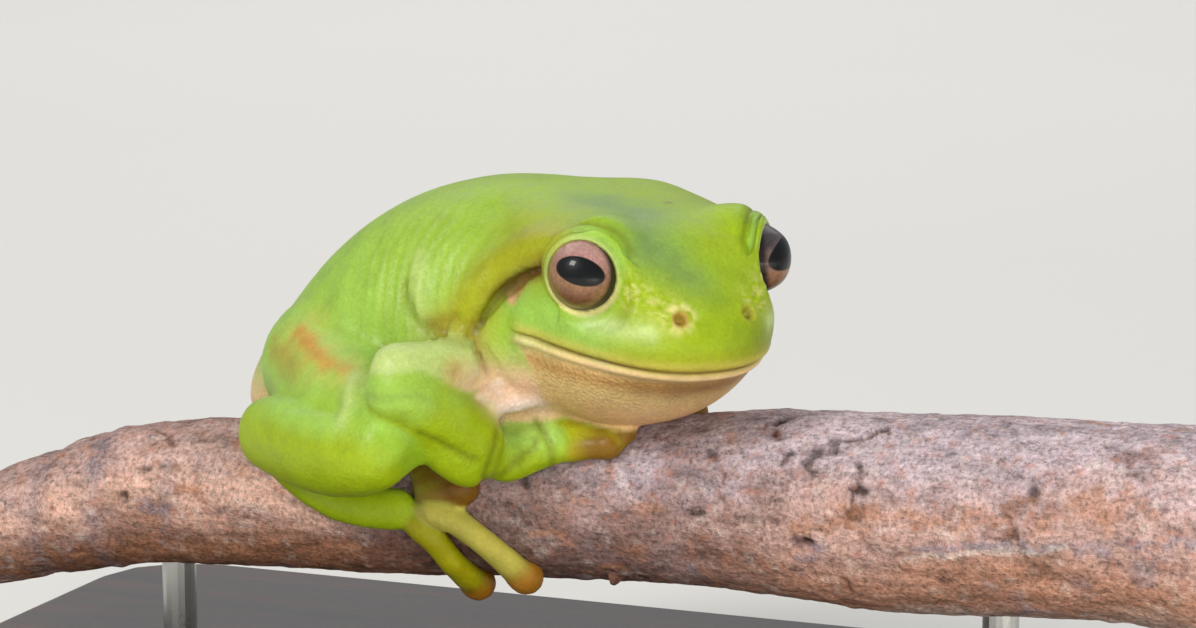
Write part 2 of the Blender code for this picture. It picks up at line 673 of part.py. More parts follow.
def make_stand(parts, cutters, materials):
    """Branch, base and the two rods between them."""
    floor = -PERCH_POINT.z
    base_top = floor + BASE_THICKNESS
    perch = to_object("perch", perch_mesh(), parts)
    base_mesh = bmesh.new()
    bmesh.ops.create_cube(base_mesh, size=1.0)
    base_mesh.transform(Matrix.Diagonal((BASE_LENGTH, BASE_WIDTH, BASE_THICKNESS, 1.0 / MM)) * MM)
    upright = [edge for edge in base_mesh.edges
               if abs(edge.verts[0].co.z - edge.verts[1].co.z) > 0.5 * BASE_THICKNESS * MM]
    bmesh.ops.bevel(base_mesh, geom=upright, offset=BASE_CORNER * MM, segments=3,
                    profile=0.5, affect="EDGES")
    top_rim = [edge for edge in base_mesh.edges
               if min(vert.co.z for vert in edge.verts) > 0.49 * BASE_THICKNESS * MM]
    bmesh.ops.bevel(base_mesh, geom=top_rim, offset=BASE_EDGE * MM, segments=2,
                    profile=0.5, affect="EDGES")
    middle = Vector((-PERCH_POINT.x, -PERCH_POINT.y, floor + 0.5 * BASE_THICKNESS))
    bmesh.ops.translate(base_mesh, verts=base_mesh.verts, vec=middle * MM)
    base = to_object("stand_base", base_mesh, parts)
    wells = []
    sockets = []
    up = Vector((0.0, 0.0, 1.0))
    for side, place in ROD_PLACES.items():
        low = base_top - ROD_SINK_IN_BASE + GAP
        high = rod_top(place)
        length = high - low
        centre = Vector((place, 0.0, 0.5 * (low + high)))
        rod = to_object("stand_rod_" + side, disc_mesh(centre, up, ROD_RADIUS, length), parts)
        rod.data.materials.append(materials["steel"])
        hole = ROD_RADIUS + GAP
        depth = ROD_SINK_IN_BASE + 2.0
        wells.append(disc_mesh(Vector((place, 0.0, low - GAP + 0.5 * depth)), up, hole, depth))
        reach = ROD_SINK_IN_PERCH + 3.0
        sockets.append(disc_mesh(Vector((place, 0.0, high + GAP - 0.5 * reach)), up, hole, reach))
    combine(base, wells, "DIFFERENCE", cutters)
    combine(perch, sockets, "DIFFERENCE", cutters)
    base.data.materials.append(materials["base"])
    perch.data.materials.append(materials["bark"])


def clear_scene():
    """Start from nothing."""
    for thing in list(bpy.data.objects):
        bpy.data.objects.remove(thing)
    for group in list(bpy.data.collections):
        bpy.data.collections.remove(group)


def main():
    """Build every piece and hang it from the perch point."""
    clear_scene()
    parts = new_collection("tree_frog_on_branch")
    cutters = new_collection("cutters")
    materials = {
        "skin": make_material("skin", GREEN, 0.38),
        "pale_skin": make_material("pale_skin", PALE_GREEN, 0.40),
        "throat": make_material("throat", CREAM, 0.50),
        "digit": make_material("digit", ORANGE, 0.42),
        "eye": make_material("eye", (0.16, 0.08, 0.06), 0.05),
        "eardrum": make_material("eardrum", (0.62, 0.42, 0.28), 0.45),
        "bark": make_material("bark", (0.36, 0.24, 0.20), 0.85),
        "base": make_material("base", (0.05, 0.035, 0.03), 0.35),
        "steel": make_material("steel", (0.60, 0.60, 0.58), 0.30, 1.0),
    }
    make_stand(parts, cutters, materials)
    make_head(parts, cutters, materials)
    make_body(parts, cutters, materials)
    anchor = bpy.data.objects.new("perch_point", None)
    parts.objects.link(anchor)
    anchor.location = PERCH_POINT * MM
    for piece in parts.objects:
        if piece is anchor:
            continue
        piece.parent = anchor
        piece.data.shade_smooth()
        piece.data.set_sharp_from_angle(angle=math.radians(40.0))


main()
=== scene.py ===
"""Green tree frog on a cut branch and a low stand: finishes and detailed surfaces.

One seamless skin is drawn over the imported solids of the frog's flesh, and the eyes, the
bark, the base and the rods each get their own surface or finish.  Folds and marks are
typed places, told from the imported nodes.  Lengths inside the classes are in millimetres
of the row frame, where a class doesn't say otherwise.
"""

import logging
import math
from dataclasses import dataclass, field
from enum import Enum

import bmesh
import bpy
import numpy as np
import openvdb
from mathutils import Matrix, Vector


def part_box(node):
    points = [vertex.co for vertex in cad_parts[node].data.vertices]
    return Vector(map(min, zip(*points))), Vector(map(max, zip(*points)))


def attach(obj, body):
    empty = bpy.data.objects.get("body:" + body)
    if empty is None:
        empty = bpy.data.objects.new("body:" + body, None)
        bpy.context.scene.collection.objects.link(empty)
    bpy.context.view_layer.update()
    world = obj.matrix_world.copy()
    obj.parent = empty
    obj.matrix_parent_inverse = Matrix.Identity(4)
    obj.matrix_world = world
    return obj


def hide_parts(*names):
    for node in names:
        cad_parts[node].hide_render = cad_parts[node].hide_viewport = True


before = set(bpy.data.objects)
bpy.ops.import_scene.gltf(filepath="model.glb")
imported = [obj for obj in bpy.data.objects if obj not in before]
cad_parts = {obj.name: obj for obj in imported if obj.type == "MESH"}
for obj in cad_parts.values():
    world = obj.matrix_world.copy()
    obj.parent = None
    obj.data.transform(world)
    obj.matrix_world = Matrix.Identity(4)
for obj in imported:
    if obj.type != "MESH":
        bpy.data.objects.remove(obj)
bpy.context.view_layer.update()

MM = 0.001
LOG = logging.getLogger("tree_frog")

Array = np.ndarray
Piece = bpy.types.Object
Socket = bpy.types.NodeSocket
Place = tuple[float, float, float]
Route = tuple[Place, ...]


class Side(Enum):
    """The frog's own left or right, with its sign across the body."""

    LEFT = 1.0
    RIGHT = -1.0

    @property
    def word(self) -> str:
        """The side's word in node names."""
        return self.name.lower()


# ---------------------------------------------------------------- measuring the frame


def node_points(name: str) -> Array:
    """Every vertex of a CAD node.

    Args:
        name: the node's name.

    Returns:
        Its points in millimetres, one row each.
    """
    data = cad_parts[name].data
    flat = np.empty(3 * len(data.vertices), np.float32)
    data.vertices.foreach_get("co", flat)
    return flat.reshape(-1, 3) / MM


def node_triangles(name: str) -> Array:
    """The vertex numbers of a CAD node's triangles.

    Args:
        name: the node's name.

    Returns:
        One row of three numbers for each triangle.
    """
    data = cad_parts[name].data
    data.calc_loop_triangles()
    flat = np.empty(3 * len(data.loop_triangles), np.int32)
    data.loop_triangles.foreach_get("vertices", flat)
    return flat.reshape(-1, 3).astype(np.uint32)


def node_middle(name: str) -> Array:
    """The middle of a CAD node's box, in millimetres."""
    low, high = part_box(name)
    return (np.array(low) + np.array(high)) / (2.0 * MM)


def right_node(kind: str) -> str:
    """The name of the frog's right node of a kind: finger_1 is finger_right_1."""
    word, _, number = kind.partition("_")
    return "%s_right_%s" % (word, number) if number.isdigit() else kind + "_right"


def shoulder() -> Array:
    """The middle of the right upper arm's inner end, in the row frame."""
    points = node_points("upper_arm_right")
    return points[points[:, 1] > points[:, 1].max() - 0.8].mean(axis=0)


def node_size(name: str) -> Array:
    """The three sides of a CAD node's box, in millimetres."""
    low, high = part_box(name)
    return (np.array(high) - np.array(low)) / MM


# ---------------------------------------------------------------- shaping functions


def ramp(value: Array, low: float, high: float) -> Array:
    """A soft step: 0 up to low, 1 from high, with the cubic 3t^2 - 2t^3 between."""
    t = np.clip((value - low) / (high - low), 0.0, 1.0)
    return t * t * (3.0 - 2.0 * t)


def fall(value: Array, low: float, high: float) -> Array:
    """A soft step down: 1 up to low, 0 from high."""
    return 1.0 - ramp(value, low, high)


def hill(value: Array, top: float, width: float) -> Array:
    """A bell of height 1: exp(-((value - top) / width)^2)."""
    return np.exp(-(((value - top) / width) ** 2))


def wave(share: Array) -> Array:
    """A sine whose length is 1."""
    return np.sin(2.0 * math.pi * share)


def apart(points: Array, place: Array | Place) -> Array:
    """How far each point lies from a place."""
    return np.linalg.norm(points - place, axis=1)


def soft_union(first: Array, second: Array, reach: float) -> Array:
    """Two distance fields with a fillet: the lesser, less (reach - gap)^2 / (4 reach)."""
    near = np.maximum(reach - np.abs(first - second), 0.0)
    return np.minimum(first, second) - near * near / (4.0 * reach)


def lump(points: Array, size: float, seed: int) -> Array:
    """Smooth random relief: random values on a lattice, blended by cubic steps.

    Args:
        points: where to read it, one row each.
        size: the lattice's spacing, the same unit as the points.
        seed: picks the random values.

    Returns:
        A value from -1 to 1 for each point.
    """
    table = np.random.RandomState(seed).uniform(-1.0, 1.0, (32, 32, 32))
    place = points / size
    cell = np.floor(place).astype(int)
    t = place - cell
    t = t * t * (3.0 - 2.0 * t)
    total = np.zeros(len(points))
    for corner in np.ndindex(2, 2, 2):
        share = np.prod(np.where(corner, t, 1.0 - t), axis=1)
        at = (cell + corner) % 32
        total += share * table[at[:, 0], at[:, 1], at[:, 2]]
    return total


def relief(points: Array, size: float, seed: int, octaves: int = 3) -> Array:
    """Several lumps summed, each half the size and half the height of the one before.

    Args:
        points: where to read it, one row each.
        size: the size of the largest lumps.
        seed: picks the random values.
        octaves: how many sizes of lump are summed.

    Returns:
        The summed heights.
    """
    total = np.zeros(len(points))
    for step in range(octaves):
        total += 0.5**step * lump(points, size * 0.5**step, seed + step)
    return total


def from_route(points: Array, route: Array) -> tuple[Array, Array, Array]:
    """How far points lie from a route of straight lengths.

    Args:
        points: where to measure from, one row each.
        route: the route's own points, one row each.

    Returns:
        The distance, the share of the route's length passed, and the offset from
        the nearest place on the route.
    """
    lengths = np.linalg.norm(np.diff(route, axis=0), axis=1)
    passed = np.concatenate([[0.0], np.cumsum(lengths)])
    best = np.full(len(points), np.inf)
    share = np.zeros(len(points))
    offset = np.zeros_like(points)
    for start, end, length, before in zip(route[:-1], route[1:], lengths, passed):
        t = np.clip((points - start) @ (end - start) / length**2, 0.0, 1.0)
        away = points - (start + t[:, None] * (end - start))
        distance = np.linalg.norm(away, axis=1)
        nearer = distance < best
        best = np.where(nearer, distance, best)
        share = np.where(nearer, (before + t * length) / passed[-1], share)
        offset = np.where(nearer[:, None], away, offset)
    return best, share, offset


def curve_through(route: Array, count: int) -> Array:
    """Points along a smooth curve through a route: a Catmull-Rom curve.

    Args:
        route: the points to pass through.
        count: how many points to return.

    Returns:
        The curve's points, one row each.
    """
    route = np.asarray(route, float)
    t = np.linspace(0.0, len(route) - 1.000001, count)
    cell = t.astype(int)
    t = (t - cell)[:, None]
    padded = np.vstack([2 * route[0] - route[1], route, 2 * route[-1] - route[-2]])
    a, b, c, d = (padded[cell + step] for step in range(4))
    return 0.5 * (2 * b + t * (c - a) + t * t * (2 * a - 5 * b + 4 * c - d)
                  + t**3 * (3 * b - a - 3 * c + d))


def strides(length: float, heading: float, bend: float, steps: int) -> Array:
    """A line in equal strides that turn a little each time, as (along, across) offsets.

    Args:
        length: the line's length.
        heading: the way it sets out, in degrees.
        bend: how far it has turned by its end, in degrees.
        steps: how many strides it has.

    Returns:
        The offsets from the line's start, which is the first row.
    """
    turn = np.radians(heading + bend * (np.arange(steps) + 0.5) / steps)
    passed = np.cumsum(np.column_stack([np.cos(turn), np.sin(turn)]), axis=0)
    return length / steps * np.vstack([np.zeros((1, 2)), passed])


# ---------------------------------------------------------------- meshes and nodes


def surface_object(name: str, points: Array, faces: Array) -> Piece:
    """A smooth-shaded object from whole arrays.

    Args:
        name: the piece's name.
        points: the vertices in millimetres.
        faces: vertex numbers, one row for each face.

    Returns:
        The object, linked into the scene, at the origin.
    """
    data = bpy.data.meshes.new(name)
    sides = faces.shape[1]
    data.vertices.add(len(points))
    data.vertices.foreach_set("co", (points * MM).astype(np.float32).ravel())
    data.loops.add(faces.size)
    data.loops.foreach_set("vertex_index", faces.astype(np.int32).ravel())
    data.polygons.add(len(faces))
    data.polygons.foreach_set("loop_start", np.arange(0, faces.size, sides, dtype=np.int32))
    data.update(calc_edges=True)
    data.validate()
    data.shade_smooth()
    piece = bpy.data.objects.new(name, data)
    bpy.context.scene.collection.objects.link(piece)
    return piece


def mesh_points(piece: Piece) -> Array:
    """A piece's vertices in millimetres, one row each.

    Args:
        piece: the piece to read.

    Returns:
        Its points.
    """
    flat = np.empty(3 * len(piece.data.vertices), np.float32)
    piece.data.vertices.foreach_get("co", flat)
    return flat.reshape(-1, 3).astype(float) / MM


def set_numbers(piece: Piece, name: str, values: Array) -> None:
    """Store one number for each vertex, for a finish to read."""
    layer = piece.data.attributes.new(name, "FLOAT", "POINT")
    layer.data.foreach_set("value", values.astype(np.float32))


def set_colours(piece: Piece, name: str, colours: Array) -> None:
    """Store one linear colour for each vertex, for a finish to read.

    Args:
        piece: the piece.
        name: the attribute's name.
        colours: the colours, one row each.
    """
    layer = piece.data.attributes.new(name, "FLOAT_COLOR", "POINT")
    full = np.ones((len(colours), 4), np.float32)
    full[:, :3] = colours
    layer.data.foreach_set("color", full.ravel())


def linear(red: int, green: int, blue: int) -> Array:
    """A colour written in display numbers from 0 to 255, as linear light."""
    shown = np.array((red, green, blue)) / 255.0
    return np.where(shown <= 0.04045, shown / 12.92, ((shown + 0.055) / 1.055) ** 2.4)


class Sketch:
    """A material's node tree, drawn one node at a time."""

    def __init__(self, name: str) -> None:
        """Start a material with a Principled shader.

        Args:
            name: the material's name.
        """
        self.material = bpy.data.materials.new(name)
        self.material.use_nodes = True
        self.tree = self.material.node_tree
        self.shader = self.tree.nodes["Principled BSDF"]

    def node(self, kind: str, settings: dict | None = None, **inputs) -> bpy.types.Node:
        """Add a node.

        Args:
            kind: the node's type, without the ShaderNode prefix.
            settings: properties of the node itself.
            **inputs: a value or another node's output for each named input, with
                underscores for spaces, or in0, in1 for inputs by number.

        Returns:
            The node.
        """
        made = self.tree.nodes.new("ShaderNode" + kind)
        for key, value in (settings or {}).items():
            setattr(made, key, value)
        for key, value in inputs.items():
            number = key[2:]
            socket = made.inputs[int(number)] if key.startswith("in") and number.isdigit() \
                else made.inputs[key.replace("_", " ")]
            self.feed(socket, value)
        return made

    def feed(self, socket: Socket, value: object) -> None:
        """Set a socket, or link it when value is an output socket.

        Args:
            socket: the input to set.
            value: a number, a colour, a vector or an output socket.
        """
        if isinstance(value, Socket):
            self.tree.links.new(value, socket)
        elif isinstance(value, (np.ndarray, tuple)):
            opaque = (1.0,) if socket.type == "RGBA" and len(value) == 3 else ()
            socket.default_value = (*value, *opaque)
        else:
            socket.default_value = value

    def math(self, operation: str, first: object, second: object = 0.0) -> Socket:
        """A Math node's output."""
        return self.node("Math", {"operation": operation}, in0=first, in1=second).outputs[0]

    def times(self, first: object, second: object) -> Socket:
        """A product."""
        return self.math("MULTIPLY", first, second)

    def stored(self, name: str, output: str = "Fac") -> Socket:
        """What a piece stores for each vertex under a name."""
        return self.node("Attribute", {"attribute_name": name}).outputs[output]

    def place(self, scale: tuple = (1.0, 1.0, 1.0), turn: tuple = (0.0, 0.0, 0.0)) -> Socket:
        """Object coordinates, scaled and turned."""
        place = self.node("TexCoord").outputs["Object"]
        return self.node("Mapping", Vector=place, Scale=scale, Rotation=turn).outputs[0]

    def noise(self, place: Socket, scale: float, detail: float = 2.0,
              roughness: float = 0.5, distortion: float = 0.0) -> Socket:
        """A Noise Texture's value; scale counts lumps to the metre."""
        return self.node("TexNoise", Vector=place, Scale=scale, Detail=detail,
                         Roughness=roughness, Distortion=distortion).outputs[0]

    def steps(self, value: Socket, stops: list[tuple[float, object]]) -> Socket:
        """A colour ramp.

        Args:
            value: what it reads, from 0 to 1.
            stops: a place and a grey number or a linear colour for each stop.

        Returns:
            The ramp's colour output.
        """
        made = self.node("ValToRGB", Fac=value)
        elements = made.color_ramp.elements
        while len(elements) < len(stops):
            elements.new(0.5)
        for element, (place, colour) in zip(elements, stops):
            element.position = place
            grey = isinstance(colour, (int, float))
            element.color = (colour, colour, colour, 1.0) if grey else (*colour, 1.0)
        return made.outputs[0]

    def mix(self, share: object, first: object, second: object, blend: str = "MIX") -> Socket:
        """A colour Mix node's output.

        Args:
            share: how much of the second colour is taken, from 0 to 1.
            first: the colour at 0.
            second: the colour at 1.
            blend: how the two are blended.

        Returns:
            The mixed colour.
        """
        made = self.node("Mix", {"data_type": "RGBA", "blend_type": blend}, in0=share)
        self.feed(made.inputs[6], first)
        self.feed(made.inputs[7], second)
        return made.outputs[2]

    def tinted(self, tone: object, by: object, share: float = 1.0) -> Socket:
        """A colour multiplied by another, as far as the share says."""
        return self.mix(share, tone, by, "MULTIPLY")

    def bump(self, height: Socket, strength: float, depth: float,
             under: Socket | None = None) -> Socket:
        """A Bump node's normal; depth is in metres.

        Args:
            height: the pattern that is raised.
            strength: how strongly it shows.
            depth: its depth in metres.
            under: the normal of a coarser bump beneath it.

        Returns:
            The normal.
        """
        made = self.node("Bump", Height=height, Strength=strength, Distance=depth)
        if under is not None:
            self.feed(made.inputs["Normal"], under)
        return made.outputs[0]

    def finish(self, **inputs) -> bpy.types.Material:
        """Set the Principled shader's inputs by name and hand over the material.

        Args:
            **inputs: a value or an output socket for each input, with underscores for spaces.

        Returns:
            The material.
        """
        for key, value in inputs.items():
            self.feed(self.shader.inputs[key.replace("_", " ")], value)
        return self.material


# ---------------------------------------------------------------- sampled distance fields


@dataclass
class Lattice:
    """Evenly spaced sample points over a box, counted in steps from the origin."""

    low: Array
    shape: tuple[int, int, int]
    step: float

    @classmethod
    def around(cls, points: Array, step: float, margin: float) -> "Lattice":
        """The lattice that covers points with a margin round them.

        Args:
            points: what it covers.
            step: its spacing.
            margin: how far it reaches past the points.

        Returns:
            The lattice.
        """
        low = np.floor((points.min(axis=0) - margin) / step).astype(int)
        high = np.ceil((points.max(axis=0) + margin) / step).astype(int)
        return cls(low, tuple(int(n) for n in high - low + 1), step)

    def points(self) -> Array:
        """Every sample point, one row each."""
        ticks = [(np.arange(n) + low) * self.step for n, low in zip(self.shape, self.low)]
        return np.stack(np.meshgrid(*ticks, indexing="ij"), axis=-1).reshape(-1, 3)

    def window(self, inner: "Lattice") -> tuple[slice, slice, slice]:
        """Where a smaller lattice lies in this one."""
        start = inner.low - self.low
        return tuple(slice(int(s), int(s + n)) for s, n in zip(start, inner.shape))

    def join(self, values: Array, inner: "Lattice", part: Array, reach: float) -> None:
        """Join a part that is sampled on a smaller lattice to a field, in place."""
        window = self.window(inner)
        values[window] = soft_union(values[window], part, reach)

    def clipped(self, outer: "Lattice") -> "Lattice":
        """This lattice, cut to what lies inside another.

        Args:
            outer: the other lattice.

        Returns:
            The smaller lattice.
        """
        low = np.maximum(self.low, outer.low)
        high = np.minimum(self.low + np.array(self.shape), outer.low + np.array(outer.shape))
        return Lattice(low, tuple(int(n) for n in high - low), self.step)

    def distance(self, points: Array, band: float, **faces: Array) -> Array:
        """Signed distance to a closed mesh, below 0 inside it.

        Args:
            points: the mesh's vertices.
            band: how far from the surface the distance is true; it is held past that.
            **faces: triangles or quads, as rows of vertex numbers.

        Returns:
            The distance at each sample point.
        """
        grid = openvdb.FloatGrid.createLevelSetFromPolygons(
            points.astype(np.float32), transform=openvdb.createLinearTransform(self.step),
            halfWidth=band / self.step, **faces)
        values = np.empty(self.shape, np.float32)
        grid.copyToArray(values, ijk=tuple(int(n) for n in self.low))
        return values

    def surface(self, values: Array, level: float = 0.0) -> tuple[Array, Array]:
        """The surface where a field has one value.

        Args:
            values: the field at each sample point.
            level: the value to draw.

        Returns:
            Its points and its four-sided faces.
        """
        grid = openvdb.FloatGrid(float(values.max()))
        grid.transform = openvdb.createLinearTransform(self.step)
        grid.copyFromArray(values, ijk=tuple(int(n) for n in self.low))
        return grid.convertToQuads(isovalue=level)

    def read(self, values: Array, points: Array) -> Array:
        """A field's value between sample points, by straight blends along each axis.

        Args:
            values: the field.
            points: where to read it.

        Returns:
            The field's value at each point.
        """
        place = np.clip(points / self.step - self.low, 0.0, np.array(self.shape) - 1.001)
        cell = place.astype(int)
        t = place - cell
        total = np.zeros(len(points))
        for corner in np.ndindex(2, 2, 2):
            share = np.prod(np.where(corner, t, 1.0 - t), axis=1)
            at = cell + corner
            total += share * values[at[:, 0], at[:, 1], at[:, 2]]
        return total

    def slope(self, values: Array, points: Array) -> Array:
        """The unit direction in which a field grows, by differences half a step apart.

        Args:
            values: the field.
            points: where to read it.

        Returns:
            One direction for each point.
        """
        result = np.empty((len(points), 3))
        for axis in range(3):
            move = np.zeros(3)
            move[axis] = 0.5 * self.step
            result[:, axis] = self.read(values, points + move) - self.read(values, points - move)
        return result / np.maximum(np.linalg.norm(result, axis=1, keepdims=True), 1e-9)


def blurred(values: Array, width: float) -> Array:
    """A field averaged over its neighbours, with bell-shaped weights along each axis.

    Args:
        values: the field.
        width: the bell's width in steps.

    Returns:
        The averaged field.
    """
    reach = int(math.ceil(3.0 * width))
    taps = np.exp(-0.5 * (np.arange(-reach, reach + 1) / width) ** 2)
    taps /= taps.sum()
    for axis in range(3):
        padding = [(0, 0)] * 3
        padding[axis] = (reach, reach)
        wide = np.pad(values, padding, mode="edge")
        total = np.zeros_like(values)
        for number, tap in enumerate(taps):
            part = [slice(None)] * 3
            part[axis] = slice(number, number + values.shape[axis])
            total += np.float32(tap) * wide[tuple(part)]
        values = total
    return values


def evened(values: Array, width: float) -> Array:
    """A field without its facets, at its true size: twice the blur, less the blur's blur."""
    once = blurred(values, width)
    return 2.0 * once - blurred(once, width)


# ---------------------------------------------------------------- the head's own frame


@dataclass
class HeadFrame:
    """Axes that stand midway between the eyeballs: forward, to the frog's left, and up."""

    pitch: float = 3.6
    eye_radius: float = field(init=False)
    origin: Array = field(init=False)
    axes: Array = field(init=False)

    def __post_init__(self) -> None:
        """Measure the axes from the two eyeballs."""
        left = node_middle("eye_left")
        right = node_middle("eye_right")
        self.eye_radius = 0.5 * float(node_size("eye_left")[2])
        self.origin = 0.5 * (left + right)
        across = (left - right) / np.linalg.norm(left - right)
        ahead = np.cross(across, (0.0, 0.0, 1.0))
        angle = math.radians(self.pitch)
        ahead = math.cos(angle) * ahead / np.linalg.norm(ahead) - math.sin(angle) * np.array(
            (0.0, 0.0, 1.0))
        self.axes = np.stack([ahead, across, np.cross(ahead, across)])

    def inside(self, points: Array) -> Array:
        """Points of the row frame, in the head's frame."""
        return (points - self.origin) @ self.axes.T

    def eyeball(self, place: Place) -> Array:
        """A place (ahead, out, up) in eyeball radii from the left eyeball's middle."""
        return self.inside(node_middle("eye_left")) + self.eye_radius * np.array(place)

    def outside(self, points: Array) -> Array:
        """Points of the head's frame, in the row frame."""
        return np.asarray(points, float) @ self.axes + self.origin

    def direction(self, turn: float, rise: float, side: Side) -> Array:
        """A direction turned outwards from the snout and raised, in the row frame.

        Args:
            turn: degrees outwards from the snout.
            rise: degrees upwards.
            side: which of the head's sides is outwards.

        Returns:
            The unit direction.
        """
        level = math.cos(math.radians(rise))
        ahead = level * math.cos(math.radians(turn))
        across = side.value * level * math.sin(math.radians(turn))
        return np.array((ahead, across, math.sin(math.radians(rise)))) @ self.axes


def folded(place: Array) -> Array:
    """Places in the head's frame, with the side's sign left off."""
    return np.column_stack([place[:, 0], np.abs(place[:, 1]), place[:, 2]])


# ---------------------------------------------------------------- the skin


@dataclass(frozen=True)
class Stroke:
    """A line that sets out from a place and bends evenly, drawn on the frog's side.

    The place is (ahead, out, up), in millimetres from the shoulder or, on the head, in
    eyeball radii from the eyeball's middle.  The heading is in degrees up from straight
    ahead, the bend is how far it has turned by the end, and the lean is how far it runs
    outwards.
    """

    place: Place
    length: float
    heading: float
    bend: float = 0.0
    lean: float = 0.0

    def run(self, steps: int = 7) -> Array:
        """The line's offsets from its place, as (ahead, out, up).

        Args:
            steps: how many straight lengths it has.

        Returns:
            One row for each point.
        """
        lean = math.radians(self.lean)
        ahead, up = math.cos(lean) * strides(self.length, self.heading, self.bend, steps).T
        out = math.sin(lean) * np.linspace(0.0, self.length, steps + 1)
        return np.column_stack([ahead, out, up])

    def placed(self) -> Array:
        """The line in the row frame, measured from the right shoulder."""
        return shoulder() + (self.run() + self.place) * (1.0, -1.0, 1.0)

    def by_eye(self, head: HeadFrame) -> Array:
        """The line in the head's frame with the side's sign left off, from the eyeball."""
        return head.eyeball(self.place) + self.run()


@dataclass(frozen=True)
class Wrap:
    """A line wrapped round a right limb, on the side that faces out from the body.

    It goes round the line between the middles of two nodes.  The share of the way from
    one to the other, the angle from straight out and the radius each run evenly from
    their start to their end.
    """

    first: str
    second: str
    share: tuple[float, float]
    turn: tuple[float, float]
    radius: tuple[float, float] = (3.5, 3.5)

    def placed(self, steps: int = 7) -> Array:
        """The line in the row frame.

        Args:
            steps: how many points it has.

        Returns:
            One row for each point.
        """
        start, end = (node_middle(right_node(kind)) for kind in (self.first, self.second))
        way = end - start
        axis = way / np.linalg.norm(way)
        out = np.array((0.0, -1.0, 0.0))
        out = out - axis * (out @ axis)
        out /= np.linalg.norm(out)
        share, turn, radius = (np.linspace(*ends, steps)[:, None] for ends in (
            self.share, np.radians(self.turn), self.radius))
        ring = np.cos(turn) * out + np.sin(turn) * np.cross(axis, out)
        return start + share * way + radius * ring


@dataclass(frozen=True)
class Fold:
    """A roll of skin raised along a route, or a crease pressed in along it.

    The route is drawn onto the skin.  The girth is the round section's radius, the
    height is how far it stands out of the skin, below 0 for a crease, and the reach is
    how softly it runs into the skin round it.
    """

    route: Stroke | Wrap
    girth: float
    height: float
    reach: float = 1.0

    def shape(self, lattice: Lattice, values: Array, route: Array) -> Array:
        """Join this fold to a field, or cut it, in place.

        The section is a circle whose radius swells as the square root of a sine along
        the route, so that both ends fade away.

        Args:
            lattice: the field's lattice.
            values: the field, which is changed.
            route: the fold's route in the row frame.

        Returns:
            The line on the skin that it follows.
        """
        skin = curve_through(route, 3 * len(route))
        for _ in range(4):
            skin = skin - lattice.slope(values, skin) * lattice.read(values, skin)[:, None]
        outward = lattice.slope(values, skin)
        sink = self.girth - abs(self.height)
        line = skin - math.copysign(1.0, self.height) * sink * outward
        local = Lattice.around(line, lattice.step, self.girth + self.reach + 1.0).clipped(lattice)
        distance, share, _ = from_route(local.points(), line)
        swell = np.sqrt(np.sin(math.pi * (0.05 + 0.9 * share)))
        tube = (distance - self.girth * swell).reshape(local.shape).astype(np.float32)
        window = lattice.window(local)
        if self.height > 0.0:
            values[window] = soft_union(values[window], tube, self.reach)
        else:
            values[window] = -soft_union(-values[window], tube, self.reach)
        return skin + 0.5 * self.height * outward


@dataclass(frozen=True)
class HeadFolds:
    """The folds round each eye and ear, made in the order of the fields.

    The brow's roll leaves the eyeball's edge up and back, the ear's groove leaves it
    straight back, the jaw's angle is below the ear, and the ridge runs over the eyeball.
    """

    brow_roll: Fold = Fold(Stroke((-0.7, 0.5, 0.7), 16.0, 188.0, 72.0, 21.0), 2.5, 1.4, 2.0)
    ear_groove: Fold = Fold(Stroke((-1.0, 0.6, 0.0), 12.5, 200.0, 56.0, 22.0), 0.7, -1.05, 0.4)
    jaw_angle: Fold = Fold(Stroke((-1.7, 0.9, -1.2), 5.0, -95.0), 1.6, 0.4, 1.5)
    over_eye: Fold = Fold(Stroke((-0.8, -0.6, 1.0), 8.0, 8.0, -25.0), 2.8, 0.9, 2.8)


